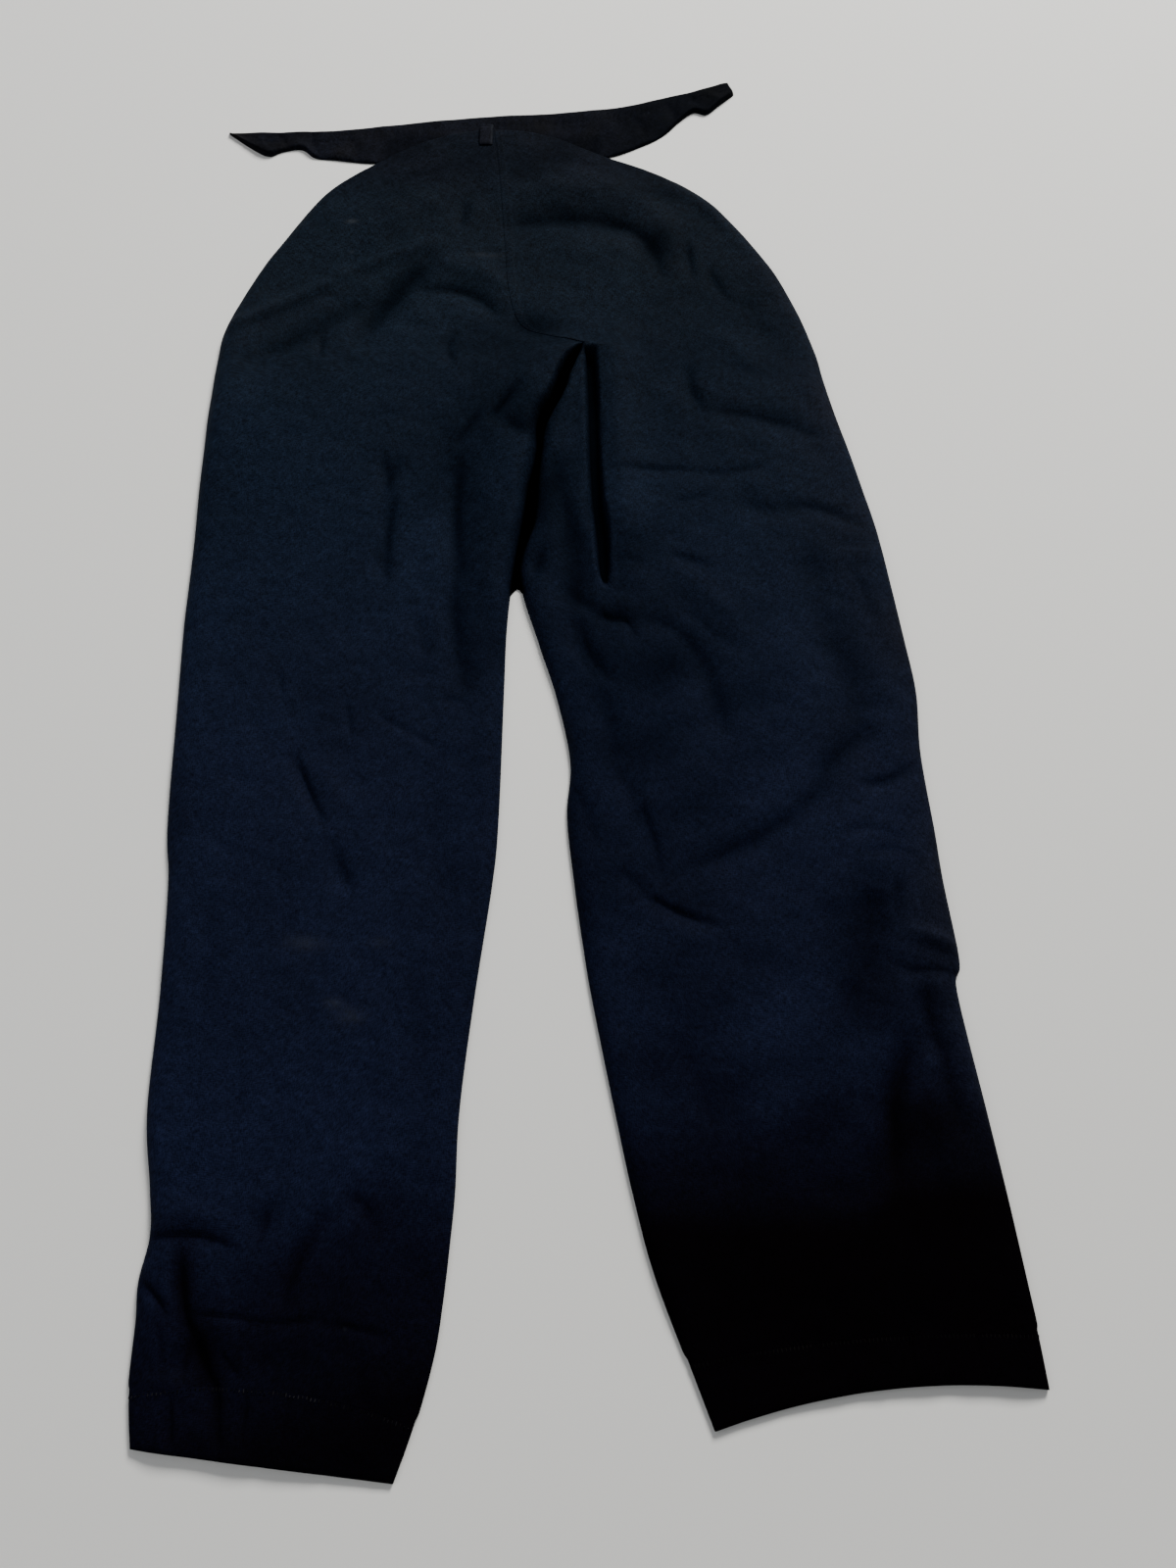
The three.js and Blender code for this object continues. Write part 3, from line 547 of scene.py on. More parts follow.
legLook = {
    "tones": (
        (0.0, (0.0030, 0.0052, 0.0092)), (0.16, (0.0033, 0.0064, 0.0116)), (0.36, (0.0036, 0.0070, 0.0156)),
        (0.58, (0.0045, 0.0068, 0.0182)), (1.0, (0.0046, 0.0064, 0.0196)),
    ),
    # the two dark colours are painted shade, near the hems and in the folds; the pale one is dust and painted
    # highlights
    "warm": (0.0046, 0.0054, 0.0100), "dark": (0.0015, 0.0008, 0.0009), "foldShadeColor": (0.0007, 0.0014, 0.0025),
    "dustAndHighlight": (0.050, 0.058, 0.070), "dustAndHighlightScale": 180, "lint": 0.10, "lintScale": 90, "lintSize": 0.06,
    "threadPitch": 0.55, "thread": 0.05, "slub": 0.06, "slubScale": 0.7, "slubDepth": 0.62,
    "crumple": 0.22, "crumpleScale": 55, "fade": 0.14, "fadeScale": 9, "mottle": 0.30, "mottleScale": 190,
    "hipGrain": 1.6, "roughness": 0.75, "specular": 0.03, "sheen": 0.014, "sheenRoughness": 0.45,
    "sheenTint": (0.55, 0.68, 0.9),
}
legCloth = clothMaterial("legCloth", legLook)
stripTone = (0.0030, 0.0036, 0.0066)
casingCloth = clothMaterial("casingCloth", {
    **legLook, "tones": ((0.0, stripTone), (1.0, stripTone)), "warm": (0.0036, 0.0034, 0.0038), "fade": 0.25,
    "fadeScale": 16, "crumple": 0.35, "crumpleScale": 90, "sheenTint": (0.7, 0.66, 0.8),
})
hemCloth = clothMaterial("hemCloth", {**legLook, "crumple": 0.35, "crumpleScale": 90})
tabTone = (0.0044, 0.0050, 0.0086)
tabCloth = clothMaterial("tabCloth", {
    **legLook, "tones": ((0.0, tabTone), (1.0, tabTone)), "threadPitch": 0.4, "fadeScale": 60,
})
print("cloth finishes ready")


def finishPiece(piece, material, nodes):
    piece.data.materials.append(material)
    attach(piece, "root")
    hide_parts(*nodes)


# Front panels
front = {
    "wall": 1.2, "backWall": 1.4, "stripWall": 2.2, "seamGap": 0.14, "cornerEase": 0.3, "rollReach": 13,
    "rollUneven": 0.15, "tightRoll": 0.2, "liftReach": 80, "rowPitch": 2.75, "slotHalf": 9, "swell": 0.7,
    "swellSize": 140, "crinkle": 0.16, "crinkleSize": 22, "crumple": 0.35, "crumpleSize": 58,
    "crumpleWidth": 0.55, "climbFrom": 400, "climbTo": 438, "seamColumn": 0.2, "seamFell": 0.26,
    "seamFellWidth": 6, "seamDip": 0.26, "seamDipWidth": 0.9, "gather": 0.30, "gatherPitch": 3.1,
    "gatherReach": 11, "gatherWander": 2.5, "hemDip": 0.06, "hemDipWidth": 1.8, "hemRow": 0.94,
    "tightY": (225, 130), "uprightSeam": (3, 9), "uprightHem": (7, 2), "wedgeCrowding": 0.7,
}
# columns from the seam to the pinched fold, across it, over the leg's middle and round the side seam
columnCounts = {"left": (13, 8, 84, 12), "right": (14, 26, 64, 12)}
pinch = {"depth": 0.97, "shade": 0.93, "topFade": 4, "lowFade": 9, "wall": (0.5, 1.15)}
# the pinched fold from its foot to its top: y, x, half width
pinchLine = [
    (41, 29.2, 1.6), (48, 28.5, 3.6), (55, 27.6, 5.2), (62, 27.2, 6.0), (72, 27.0, 6.4), (92, 25.6, 7.0),
    (115, 22.6, 6.6), (145, 21.0, 6.2), (175, 20.2, 6.2), (205, 19.6, 6.2), (235, 18.4, 6.2),
    (248, 18.0, 5.4),
]


def pinchShare(x, y):
    # 1 inside the pinched fold beside the crotch, 0 away from it
    lineY, lineX, lineHalf = zip(*pinchLine)
    side = np.abs(x - np.interp(y, lineY, lineX)) / np.interp(y, lineY, lineHalf)
    inside = 1 - smoothStep(*pinch["wall"], side)
    top = smoothStep(lineY[-1] + pinch["topFade"], lineY[-1], y)
    return inside * top * smoothStep(lineY[0], lineY[0] + pinch["lowFade"], y)


def frontColumns(sections, sideName):
    slot = sections["slot"]
    near = np.maximum(slot - front["slotHalf"], slot * 0.3)
    far = slot + front["slotHalf"]
    rimStart = rowWidth(sections) - front["rollReach"]
    wedgeCount, slotCount, middleCount, rimCount = columnCounts[sideName]
    share = 1 - np.arange(wedgeCount) / wedgeCount
    wedge = near[:, None] * (1 - share[None, :] ** front["wedgeCrowding"])
    slotPart = spread(near, far, slotCount)
    middle = spread(far, rimStart, middleCount)
    rimShare = np.sin(np.linspace(0, math.pi / 2, rimCount))
    rim = rimStart[:, None] + front["rollReach"] * rimShare[None, :]
    seam = wedge[:, :1]
    return np.concatenate([seam, seam + front["seamColumn"], wedge[:, 1:], slotPart, middle, rim], axis=1)


def edgeRound(distance, reach):
    t = clamp01(distance / reach)
    return np.sqrt(1 - (1 - t) ** 2)


def frontSurface(sections, distance, side):
    x, y = placeOnSections(sections, distance)
    fromOuter = rowWidth(sections)[:, None] - distance
    seat = front["backWall"] + front["seamGap"]
    climb = front["stripWall"] - front["backWall"]
    seat = seat + climb * smoothStep(front["climbFrom"], front["climbTo"], y)
    innerLift = sections["innerLift"][:, None]
    outward = smoothStep(0, front["liftReach"], distance)
    lift = innerLift + (sections["outerLift"][:, None] - innerLift) * outward
    roll = front["rollReach"] * (1 + front["rollUneven"] * ripple(x * 0, y, 70, 11 + side))
    innerRoll = clamp01(sections["innerRoll"])[:, None]
    # the inner edge rolls tightly near the crotch and as widely as the side seam further down
    tight = front["tightRoll"] + (1 - front["tightRoll"]) * smoothStep(*front["tightY"], y)
    edge = edgeRound(fromOuter, roll) * (1 - innerRoll * (1 - edgeRound(distance, roll * tight)))
    # the shade painted in the folds' troughs comes back as creased
    folded, creased = foldForm(x, y, folds)
    rise = lift + folded
    rise = rise + front["swell"] * ripple(x, y, front["swellSize"], 5)
    rise = rise + front["crinkle"] * ripple(x, y, front["crinkleSize"], 7)
    crumples = ripple(x, y, front["crumpleSize"], 9) / front["crumpleWidth"]
    rise = rise - front["crumple"] * np.exp(-(crumples**2))
    pinched = pinchShare(x, y)
    rise = np.maximum(0.0, rise) * (1 - pinch["depth"] * pinched)
    # the felled centre seam: a low band on the right and a dip at the join
    seamRow = 1 - innerRoll
    fellWidth = front["seamFellWidth"]
    felled = front["seamFell"] * smoothStep(fellWidth + 1, fellWidth, distance) * (side > 0)
    uneven = clamp01(0.7 + 0.5 * ripple(x, y, 40, 13))
    join = front["seamDip"] * uneven * np.exp(-(distance / front["seamDipWidth"]) ** 2)
    z = seat + np.maximum(0.0, rise * edge + seamRow * (felled - join) * smoothStep(0, 2, rise))
    return pointGrid(x, y, z), {"pinched": pinched, "creased": creased, "edge": edge}


def hemForm(distance, fromHem, seed):
    # gathers on both sides of the hem's stitch row, and the row's own dip
    wander = front["gatherWander"] * ripple(distance, fromHem, 30, seed)
    pleat = np.sin(2 * math.pi * distance / front["gatherPitch"] + wander)
    uneven = clamp01(0.6 + 0.5 * ripple(distance, fromHem * 0, 55, seed + 1))
    gathered = front["gather"] * pleat * uneven * np.exp(-fromHem / front["gatherReach"])
    return gathered - front["hemDip"] * np.exp(-((fromHem / front["hemDipWidth"]) ** 2))


def arcLength(grid):
    step = np.linalg.norm(np.diff(grid, axis=0), axis=2)
    return np.concatenate([np.zeros((1, grid.shape[1])), np.cumsum(step, axis=0)])


sections = {
    "left": sideSections(leftRise, leftLeg, -1, front["seamGap"], front["cornerEase"]),
    "right": sideSections(rightRise, rightLeg, 1, front["seamGap"], front["cornerEase"]),
}
hemRow = len(sections["left"]["outerX"]) - 2
lastRow = hemRow + 1
panels = {}

# how the legs' inner edges waver below the crotch: y, left edge's shift, right edge's shift
innerWaver = [
    (45, 0, 0), (57, 0, -1.1), (78, 0.3, -0.3), (98, 0.8, 1.6), (119, 0.7, 0.8), (130, 0.5, 0),
    (141, 1.5, -0.8), (149, 2.0, -1.8), (162, 1.8, -3.0), (170, 0.6, -4.2), (178, -1.3, -4.8),
    (184, -2.1, -5.0), (195, -1.6, -3.4), (207, 1.4, -0.8), (218, 1.6, 0), (229, 0.3, -1.6),
    (241, 0, -0.6), (250, 0, 0),
]
# shade on those edges: a soft band and a narrow line, each fading out between two heights at its ends
innerBand = {"shade": 0.8, "reach": 2.5, "low": (40, 60), "top": (220, 170)}
innerLine = {"reach": 1.6, "low": (34, 42)}


def makeFront(sideName, sign):
    rows = refine(sections[sideName], 0, hemRow, front["rowPitch"])
    rows = addRows(rows, len(rows["bow"]) - 2, front["hemRow"])
    bandY, *shifts = zip(*innerWaver)
    rows["innerX"] = rows["innerX"] + np.interp(rows["innerY"], bandY, shifts[sign > 0])
    distance = frontColumns(rows, sideName)
    under, form = frontSurface(rows, distance, sign)
    slope = clamp01(rows["innerRoll"])[:, None]
    upright = (1 - slope) * (1 - smoothStep(*front["uprightSeam"], distance))
    upright[0], upright[-1] = 1, 1
    fromTop = arcLength(under)
    fromHem = fromTop[-1:] - fromTop
    upright = np.maximum(upright, smoothStep(*front["uprightHem"], fromHem))
    over = wallOffset(under, front["wall"], upright)
    over[..., 2] += hemForm(distance, fromHem, 31 + sign) * form["edge"]
    x, y = under[..., 0], under[..., 1]
    # painted shade in the folds' creases, and nearly black painted shade inside the pinched fold
    shade = np.maximum(form["creased"], pinch["shade"] * form["pinched"])
    band = innerBand["shade"] * np.exp(-distance / innerBand["reach"]) * slope
    band = band * smoothStep(*innerBand["low"], y) * smoothStep(*innerBand["top"], y)
    line = np.exp(-((distance / innerLine["reach"]) ** 2)) * clamp01(slope * 4)
    innerShade = np.maximum(band, line * smoothStep(*innerLine["low"], y))
    # with the painted shadow over the hems, the painted shade along the inner edges and the broad painted
    # shade areas
    shade = 1 - (1 - shade) * (1 - hemShadowMark(x, y, sideName)) * (1 - innerShade) * (1 - paintedShadeMark(x, y))
    marks = clothMarks(x, y, shade, warmMark(x, y))
    uv = np.stack([distance, fromTop], axis=-1)
    piece = shellObject("front" + sideName.capitalize(), under, over, uv, marks)
    finishPiece(piece, legCloth, ["front_" + sideName])
    panels[sideName] = {"over": over, "distance": distance, "rows": rows, "piece": piece}


makeFront("left", -1)
makeFront("right", 1)
print("front panels made")

# Back panels
back = {
    "wall": 1.4, "rowPitch": 8.0, "columns": 30, "meetRows": 5, "seamX": -59.5, "archX": -35.6,
    "gapReach": (30, 20), "gapTop": (20, 40),
}
# the rounded top of the opening between the legs: y and half width
legArch = [(45, 0.0), (43.5, 1.9), (41, 3.9), (37, 5.8), (33, 7.0)]
# the strip's hidden lower edge runs straight from its left point to its right one
strip = {
    "leftX": -163, "leftY": 447, "rightX": 31, "rightY": 453, "step": 1.1, "rows": 26, "edgeRound": 3.0,
    "seat": 0.6, "puff": 1.5, "puffUneven": 0.35, "curl": 3.0, "leftCurl": (-163, -230),
    "rightCurl": (45, 110), "stitchAt": 12, "stitchDip": 0.5, "stitchDipWidth": 1.1, "gather": 0.14,
    "gatherPitch": 5.5, "gatherReach": 7, "gatherWander": 2.2, "coverLeft": (-163, -150),
    "coverRight": (31, 20), "coverTop": (480, 470), "shade": 0.1, "stitchShade": 0.1, "coverShade": 0.3,
    "rightShade": 0.45, "rightShadeX": (-70, 100), "warmLeft": (-235, -280), "warmRight": (100, 140),
    "warmUneven": 0.25,
}


def hiddenEdgeY(x):
    across = (x - strip["leftX"]) / (strip["rightX"] - strip["leftX"])
    return strip["leftY"] + (strip["rightY"] - strip["leftY"]) * across


def makeBack(sideName, otherName):
    own = {name: values.copy() for name, values in sections[sideName].items()}
    own["outerY"][0] = hiddenEdgeY(own["outerX"][0])
    own["innerX"][0] = back["seamX"]
    own["innerY"][0] = hiddenEdgeY(own["innerX"][0])
    own["bow"][0] = 0
    own["innerX"][1:crotchRow + 1], own["innerY"][1:crotchRow + 1] = np.array(centreSeam[1:]).T
    # below the crotch both backs meet half-way for some rows, down to the rounded opening
    free = crotchRow + 1 + back["meetRows"]
    for name in ("innerX", "innerY"):
        meeting = (own[name] + sections[otherName][name]) / 2
        own[name][crotchRow + 1:free] = meeting[crotchRow + 1:free]
    archY, archHalf = np.array(legArch).T
    share = (own["innerY"][free - 1] - archY) / (own["innerY"][free - 1] - own["innerY"][free])
    own = addRows(own, free - 1, share)
    archEnd = free + len(legArch)
    own["innerX"][free:archEnd] = back["archX"] + (archHalf if sideName == "right" else -archHalf)
    own["innerY"][free:archEnd] = archY
    rows = refine(own, 0, hemRow + len(legArch), back["rowPitch"])
    distance = rowWidth(rows)[:, None] * np.linspace(0, 1, back["columns"])[None, :]
    x, y = placeOnSections(rows, distance)
    under, over = pointGrid(x, y, 0), pointGrid(x, y, back["wall"])
    # painted shade, black where the back shows between the legs
    gap = smoothStep(*back["gapReach"], distance) * smoothStep(*back["gapTop"], y)
    marks = clothMarks(x, y, np.maximum(gap, hemShadowMark(x, y, sideName)), dustAndHighlightShare=0.0)
    uv = np.stack([distance, arcLength(under)], axis=-1)
    piece = shellObject("back" + sideName.capitalize(), under, over, uv, marks)
    finishPiece(piece, legCloth, ["back_" + sideName])
    panels[sideName]["back"] = piece


makeBack("left", "right")
makeBack("right", "left")
print("back panels made")

# Back waist strip: upper edge x, y and lower edge x, y, from the left free end to the right one
stripRows = np.array([
    (-288, 480, -286, 478), (-272, 480.5, -271, 466), (-258, 481, -258, 457), (-250, 481, -250, 455),
    (-242, 481, -241, 459.5), (-226, 482, -225, 462), (-212, 482, -213, 453), (-196, 483, -195, 450.5),
    (-163, 487, -163, 447), (-110, 494, -108, 448.7), (-60, 499, -58, 450.2), (-12, 502, -12, 451.7),
    (44, 509, 31, 453), (72, 516.5, 62, 466), (89, 522, 80, 477.5), (104, 526, 94, 493), (116, 530, 106, 503),
    (124, 533, 117, 501), (131, 536, 128, 511), (136, 537, 141, 523),
], dtype=float)
stripCreases = [
    (-246, 479, -236, 461, 2, 3, -1.2, 0.6), (-216, 480, -208, 455, -2, 4, -1.4, 0.6),
    (-186, 478, -176, 452, 2, 4, -1.1, 0.6), (-150, 484, -142, 462, 2, 3, -0.9, 0.6),
    (-98, 484, -82, 496, 1, 3, -0.9, 0.6), (-30, 500, -22, 488, 0, 3, -0.8, 0.6),
    (52, 500, 66, 476, 3, 4, -1.3, 0.6), (84, 512, 92, 492, 2, 4, -1.3, 0.6),
    (104, 520, 112, 508, 1, 3, -1.1, 0.6), (-262, 476, -254, 462, 1, 4, 1.3, 0.6),
    (118, 524, 128, 516, 1, 4, 1.2, 0.6), (30, 496, 44, 470, 2, 5, 0.9, 0.6),
]


def makeStrip():
    parts = []
    for i in range(len(stripRows) - 1):
        near = [min(len(stripRows) - 1, max(0, k)) for k in (i - 1, i, i + 1, i + 2)]
        length = math.hypot(stripRows[i + 1][0] - stripRows[i][0], stripRows[i + 1][1] - stripRows[i][1])
        steps = max(3, round(length / strip["step"]))
        t = (np.arange(steps) / steps)[:, None]
        parts.append(spline(*(stripRows[k][None, :] for k in near), t))
    rows = np.concatenate([*parts, stripRows[-1:]])
    t = closeAtEnds(strip["rows"])
    x = rows[:, 0:1] + (rows[:, 2:3] - rows[:, 0:1]) * t
    y = rows[:, 1:2] + (rows[:, 3:4] - rows[:, 1:2]) * t
    height = np.hypot(rows[:, 2:3] - rows[:, 0:1], rows[:, 3:4] - rows[:, 1:2])
    fromTop = t * height
    fromEdge = np.minimum(fromTop, (1 - t) * height)
    fromEnd = np.minimum(np.abs(x - stripRows[0, 0]), np.abs(stripRows[-1, 2] - x))
    rounded = edgeRound(np.minimum(fromEdge, fromEnd), strip["edgeRound"])
    fromStitch = fromTop - strip["stitchAt"]
    stitched = np.exp(-(fromStitch / strip["stitchDipWidth"]) ** 2) * smoothStep(18, 24, height)
    wander = strip["gatherWander"] * ripple(x, y * 0, 30, 21)
    pleat = np.sin(2 * math.pi * x / strip["gatherPitch"] + wander)
    gather = strip["gather"] * pleat * np.exp(-(fromStitch / strip["gatherReach"]) ** 2)
    free = np.maximum(smoothStep(*strip["leftCurl"], x), smoothStep(*strip["rightCurl"], x))
    curl = strip["curl"] * free * smoothStep(0.2, 1.0, t) * clamp01(0.6 + 0.5 * ripple(x, y * 0, 55, 23))
    puff = strip["puff"] + strip["puffUneven"] * ripple(x, y, 34, 25)
    creased = foldForm(x, y, stripCreases)[0]
    rise = (puff + gather + creased - strip["stitchDip"] * stitched) * rounded + curl * rounded
    # flat where the front panels cover it
    covered = smoothStep(*strip["coverLeft"], x) * smoothStep(*strip["coverRight"], x)
    covered = covered * smoothStep(*strip["coverTop"], y)
    rise = np.maximum(rise * (1 - covered), 0) + strip["seat"] * covered
    under, over = pointGrid(x, y, 0), pointGrid(x, y, strip["seat"] + rise)
    shade = strip["shade"] + strip["stitchShade"] * stitched + strip["coverShade"] * covered
    shade = shade + strip["rightShade"] * smoothStep(*strip["rightShadeX"], x)
    warm = smoothStep(*strip["warmLeft"], x) + smoothStep(*strip["warmRight"], x)
    warm = warm + strip["warmUneven"] * ripple(x, y, 30, 53)
    piece = shellObject("waistStrip", under, over, np.stack([x, -y], axis=-1), clothMarks(x, y, shade, warm))
    finishPiece(piece, casingCloth, ["waist_strip"])
    return piece, over, fromTop


waistStrip, stripOver, stripFromTop = makeStrip()
print("waist strip made")

# Hem casings
hem = {
    "columns": 210, "puff": 0.4, "puffTop": (0, 0.4), "puffLow": (0.75, 1.0), "rowPitch": 1.6,
    "edgeRound": 0.7, "edgeFrom": 0.93, "gap": 0.05, "seamRow": 0.08,
}


def makeHem(sideName, sign):
    own = {name: values.copy() for name, values in sections[sideName].items()}
    own["outerY"][hemRow] -= hem["gap"]
    own["innerY"][hemRow] -= hem["gap"]
    rows = addRows(refine(own, hemRow, lastRow, hem["rowPitch"]), 0, hem["seamRow"])
    distance = rowWidth(rows)[:, None] * closeAtEnds(hem["columns"])[None, :]
    under, form = frontSurface(rows, distance, sign)
    fromSeam = arcLength(under)
    down = fromSeam[:, :1] / fromSeam[-1, 0]
    puff = hem["puff"] * (smoothStep(*hem["puffTop"], down) - smoothStep(*hem["puffLow"], down))
    lowEdge = hem["edgeRound"] * smoothStep(hem["edgeFrom"], 1.0, down)
    over = wallOffset(under, front["wall"], np.ones_like(distance))
    over[..., 2] += (hemForm(distance, fromSeam, 31 + sign) + puff - lowEdge) * form["edge"]
    x, y = under[..., 0], under[..., 1]
    # painted shade in the creases and the painted shadow over the hems
    marks = clothMarks(x, y, 1 - (1 - form["creased"]) * (1 - hemShadowMark(x, y, sideName)))
    uv = np.stack([distance, fromSeam], axis=-1)
    title = sideName.capitalize()
    piece = shellObject("hemFront" + title, under, over, uv, marks)
    finishPiece(piece, hemCloth, ["hem_front_" + sideName])
    lower = shellObject("hemBack" + title, pointGrid(x, y, 0), pointGrid(x, y, back["wall"]), uv, marks)
    finishPiece(lower, hemCloth, ["hem_back_" + sideName])
    panels[sideName]["hem"] = {"over": over, "front": piece, "back": lower}


makeHem("left", -1)
makeHem("right", 1)
print("hem casings made")

# Bare tab at the top of the centre seam
tab = {
    "x": -69.5, "width": 11.0, "topY": 487.0, "lowY": 462.0, "edgeY": 480.5, "foldY": 483.5, "wall": 0.4,
    "clear": 0.2, "rows": 40, "columns": 18, "overStrip": 0.9, "endDip": 0.5, "crown": 0.25, "edgeDip": 0.3,
    "edgeRound": 0.8, "wornAndHighlight": 0.22, "highlightFrom": (0.6, 0.75), "highlightTo": (1.0, 0.9),
}


def makeTab():
    over = panels["left"]["over"]
    y = np.linspace(tab["topY"], tab["lowY"], tab["rows"])
    near = over[(np.abs(over[..., 0] - tab["x"]) < tab["width"]) & (over[..., 1] > tab["lowY"] - 8)]
    high = near[:, 2].max() + tab["clear"]
    stripTop = front["stripWall"] + tab["overStrip"]
    level = stripTop + (high - stripTop) * smoothStep(tab["foldY"] + 1, tab["edgeY"] - 0.5, y)
    level = level - tab["endDip"] * smoothStep(tab["lowY"] + 2, tab["lowY"], y)
    t = np.linspace(-1, 1, tab["columns"])[None, :]
    x = tab["x"] + t * tab["width"] / 2 + 0 * y[:, None]
    under = pointGrid(x, y[:, None] + 0 * x, level[:, None] + tab["crown"] * (1 - t**2))
    topZ = under + np.array([0, 0, tab["wall"]])
    topZ[..., 2] -= tab["edgeDip"] * (1 - edgeRound((1 - np.abs(t)) * tab["width"] / 2, tab["edgeRound"]))
    nothing = np.zeros_like(x)
    # a painted highlight beside the tab's right edge
    light = tab["wornAndHighlight"] * smoothStep(*tab["highlightFrom"], t) * smoothStep(*tab["highlightTo"], t) + nothing
    marks = {"dustAndHighlight": light, "shade": nothing, "warm": nothing, "down": nothing}
    piece = shellObject("centreTab", under, topZ, np.stack([x, -under[..., 1]], axis=-1), marks)
    finishPiece(piece, tabCloth, ["centre_label"])
    return piece, topZ


centreTab, tabOver = makeTab()
print("tab made")

# Stitches: one small rounded thread each, laid along lines on the cloth
thread = {"pitch": 3.1, "length": 2.3, "width": 0.5, "height": 0.36, "rise": 0.02}
threadUneven = {"Min": 0.85, "Max": 1.1, "Seed": 4}  # each stitch's size, as a share
# the hems are sewn with a row of upright stitches, short along the row and tall across it
hemThread = {"pitch": 2.5, "length": 0.8, "width": 2.8, "height": 0.36, "rise": 0.1}
# the faded colour is the hem thread darkened for the painted shadow over the right hem
threadLook = {
    "color": (0.0058, 0.0082, 0.0136), "dark": (0.0030, 0.0033, 0.0056), "wornAndHighlight": (0.0054, 0.0052, 0.0062),
    "faded": (0.0016, 0.0013, 0.0013), "roughness": 0.8, "specular": 0.05,
}


def threadMaterial(name, color, low=0.6, high=1.5, scale=900):
    # the tone varies between low and high times the colour, in patches set by scale
    material = bpy.data.materials.new(name)
    material.use_nodes = True
    tree = material.node_tree
    place = addNode(tree, "ShaderNodeTexCoord").outputs["Object"]
    share = addRange(tree, addNoise(tree, place, scale), 0.4, 0.6)
    darkest, palest = ((*(part * value for value in color), 1) for part in (low, high))
    shader = tree.nodes["Principled BSDF"]
    tree.links.new(addMix(tree, share, darkest, palest), shader.inputs["Base Color"])
    shader.inputs["Roughness"].default_value = threadLook["roughness"]
    shader.inputs["Specular IOR Level"].default_value = threadLook["specular"]
    return material


def stitchTree():
    tree = bpy.data.node_groups.new("stitchRow", "GeometryNodeTree")
    face = tree.interface
    for way in ("INPUT", "OUTPUT"):
        face.new_socket("Geometry", in_out=way, socket_type="NodeSocketGeometry")
    for label in ("Pitch", "Length", "Width", "Height"):
        face.new_socket(label, in_out="INPUT", socket_type="NodeSocketFloat")
    face.new_socket("Thread", in_out="INPUT", socket_type="NodeSocketMaterial")
    start = addNode(tree, "NodeGroupInput").outputs
    curve = addNode(tree, "GeometryNodeMeshToCurve", {"Mesh": start["Geometry"]})
    feeds = {"Curve": curve.outputs["Curve"], "Length": start["Pitch"]}
    points = addNode(tree, "GeometryNodeResampleCurve", feeds, mode="LENGTH")
    feeds = {"Vector": addNode(tree, "GeometryNodeInputTangent").outputs["Tangent"]}
    align = addNode(tree, "FunctionNodeAlignRotationToVector", feeds, axis="X")
    ball = addNode(tree, "GeometryNodeMeshUVSphere", {"Segments": 6, "Rings": 4, "Radius": 0.5})
    feeds = {"X": start["Length"], "Y": start["Width"], "Z": start["Height"]}
    size = addNode(tree, "ShaderNodeCombineXYZ", feeds)
    uneven = addNode(tree, "FunctionNodeRandomValue", threadUneven, data_type="FLOAT")
    feeds = {
        "Points": points.outputs["Curve"], "Instance": ball.outputs["Mesh"],
        "Rotation": align.outputs["Rotation"],
        "Scale": addScale(tree, size.outputs["Vector"], uneven.outputs["Value"]),
    }
    laid = addNode(tree, "GeometryNodeInstanceOnPoints", feeds)
    real = addNode(tree, "GeometryNodeRealizeInstances", {"Geometry": laid.outputs["Instances"]})
    feeds = {"Geometry": real.outputs["Geometry"], "Material": start["Thread"]}
    paint = addNode(tree, "GeometryNodeSetMaterial", feeds)
    addNode(tree, "NodeGroupOutput", {"Geometry": paint.outputs["Geometry"]})
    return tree


threadCloth = threadMaterial("thread", threadLook["color"])
darkThread = threadMaterial("darkThread", threadLook["dark"])
# the hems' stitches are worn in patches, and show in some places only; the right hem's thread is darker for
# the painted shadow over that hem
hemWear = {"low": 0.1, "high": 2.2, "scale": 26}
hemThreads = {
    "left": threadMaterial("wornThread", threadLook["wornAndHighlight"], **hemWear),
    "right": threadMaterial("shadowedThread", threadLook["faded"], **hemWear),
}
stitchRowTree = stitchTree()


def sewLines(name, lines, sizes, material):
    # lines are lists of points in millimetres, on top of the cloth
    points, edges = [], []
    for line in lines:
        first = len(points)
        points.extend(((np.asarray(line) + np.array([shiftX, shiftY, sizes["rise"]])) * mm).tolist())
        edges.extend((first + k, first + k + 1) for k in range(len(line) - 1))
    mesh = bpy.data.meshes.new(name + "Line")
    mesh.from_pydata(points, edges, [])
    piece = bpy.data.objects.new(name, mesh)
    bpy.context.scene.collection.objects.link(piece)
    modifier = piece.modifiers.new("stitches", "NODES")
    modifier.node_group = stitchRowTree
    values = {"Pitch": sizes["pitch"] * mm, "Length": sizes["length"] * mm, "Width": sizes["width"] * mm,
              "Height": sizes["height"] * mm, "Thread": material}
    for item in stitchRowTree.interface.items_tree:
        if item.in_out == "INPUT" and item.name in values:
            modifier[item.identifier] = values[item.name]
    made = bpy.data.meshes.new_from_object(piece.evaluated_get(bpy.context.evaluated_depsgraph_get()))
    piece.modifiers.clear()
    piece.data = made
    made.name = name
    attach(piece, "root")
    return piece


def lineBeside(over, distance, wanted, rows):
    # a line over these rows of a piece, at one distance from the edge that distance starts from
    return [[np.interp(wanted, distance[i], over[i, :, axis]) for axis in range(3)] for i in rows]


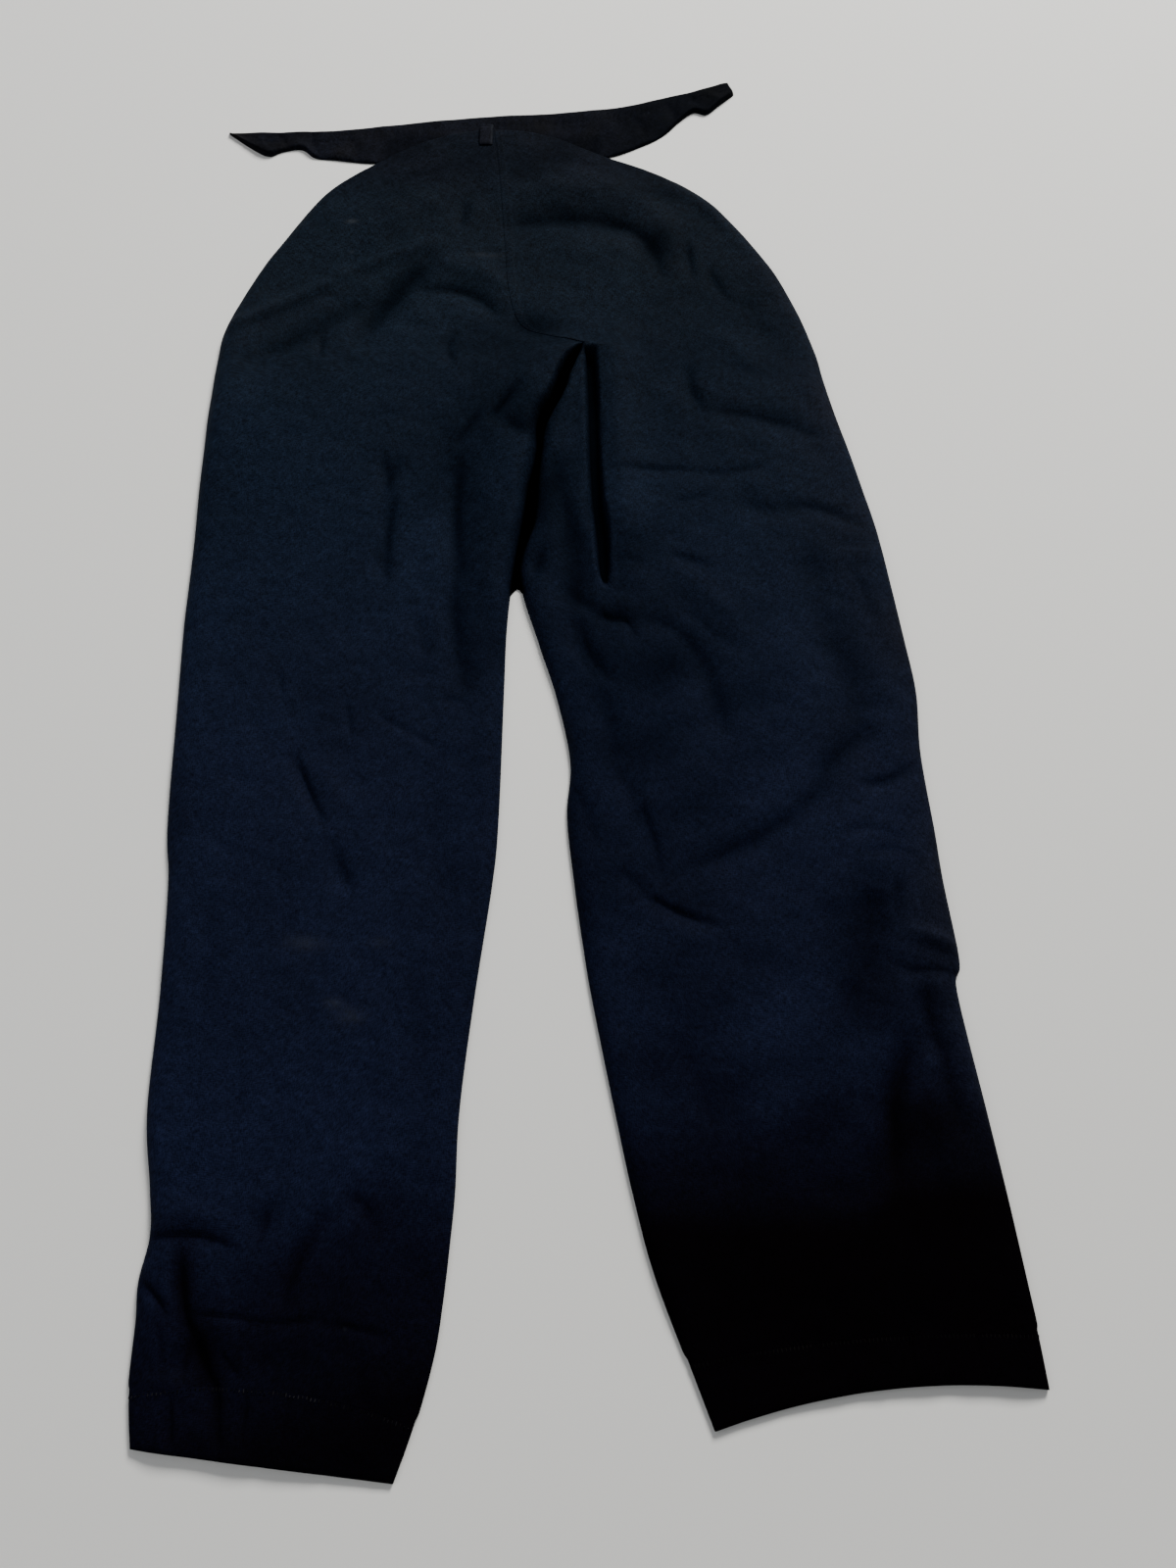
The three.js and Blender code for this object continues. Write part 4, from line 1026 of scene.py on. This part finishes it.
seamStitches = (1.6, 5.4)  # the two rows' distances from the centre seam
rightPanel = panels["right"]
riseEnd = int(np.argmax(rightPanel["rows"]["innerRoll"] > 0.02))
seamLines = []
for wanted in seamStitches:
    seamLines.append(lineBeside(rightPanel["over"], rightPanel["distance"], wanted, range(2, riseEnd - 2)))
centreStitches = sewLines("centreStitches", seamLines, thread, threadCloth)
for sideName in ("left", "right"):
    rows = [panels[sideName]["hem"]["over"][2, 4:-4:2].tolist()]
    name = sideName + "HemStitches"
    sewLines(name, rows, hemThread, hemThreads[sideName])
# the waist's row ends where the strip is too narrow for it
stitchAt = strip["stitchAt"]
wideRows = [i for i in range(4, len(stripOver) - 4, 2) if stripFromTop[i, -1] > stitchAt + 6]
waistLines = [lineBeside(stripOver, stripFromTop, stitchAt, wideRows)]
waistStitches = sewLines("waistStitches", waistLines, {**thread, "height": 0.2}, darkThread)
tabLine = [tabOver[4, 2:-2].tolist(), tabOver[7, 2:-2].tolist()]
tabThread = {**thread, "pitch": 2.2, "length": 1.7}
tabStitches = sewLines("tabStitches", tabLine, tabThread, threadCloth)
print("stitches sewn")

# Floor, light and camera
studio = {
    "floorColor": (0.785, 0.78, 0.75), "floorRoughness": 0.85, "worldColor": (0.94, 0.96, 1.0),
    "worldStrength": 0.22,
    "keyPlace": (1.20, 2.60, 2.05), "keySize": 1.2, "keyPower": 190, "keyColor": (1.0, 0.99, 0.97),
    "fillPlace": (-1.4, -0.4, 2.0), "fillSize": 1.6, "fillPower": 12, "fillColor": (0.95, 0.97, 1.0),
}


def makeStudio():
    bpy.ops.mesh.primitive_plane_add(size=8)
    floor = bpy.context.active_object
    floor.name = "floor"
    material = bpy.data.materials.new("floor")
    material.use_nodes = True
    shader = material.node_tree.nodes["Principled BSDF"]
    shader.inputs["Base Color"].default_value = (*studio["floorColor"], 1)
    shader.inputs["Roughness"].default_value = studio["floorRoughness"]
    floor.data.materials.append(material)
    world = bpy.data.worlds.new("studio")
    bpy.context.scene.world = world
    world.use_nodes = True
    background = world.node_tree.nodes["Background"].inputs
    background["Color"].default_value = (*studio["worldColor"], 1)
    background["Strength"].default_value = studio["worldStrength"]
    for label in ("key", "fill"):
        lamp = bpy.data.lights.new(label, "AREA")
        lamp.energy = studio[label + "Power"]
        lamp.size = studio[label + "Size"]
        lamp.color = studio[label + "Color"]
        lampObject = bpy.data.objects.new(label, lamp)
        bpy.context.scene.collection.objects.link(lampObject)
        lampObject.location = studio[label + "Place"]
        toMiddle = -lampObject.location
        lampObject.rotation_euler = toMiddle.to_track_quat("-Z", "Y").to_euler()


view = {"tilt": 20.0, "distance": 0.88, "lens": 29.25, "sensor": 36.0, "aimX": 0.0166, "aimY": -0.1075}


def makeCamera():
    tilt = math.radians(view["tilt"])
    lens = bpy.data.cameras.new("camera")
    lens.lens = view["lens"]
    lens.sensor_width = view["sensor"]
    lens.clip_start = 0.01
    camera = bpy.data.objects.new("camera", lens)
    bpy.context.scene.collection.objects.link(camera)
    behind = view["distance"] * math.sin(tilt)
    camera.location = (view["aimX"], view["aimY"] - behind, view["distance"] * math.cos(tilt))
    camera.rotation_euler = (tilt, 0, 0)
    bpy.context.scene.camera = camera


makeStudio()
makeCamera()
print("floor, light and camera placed")
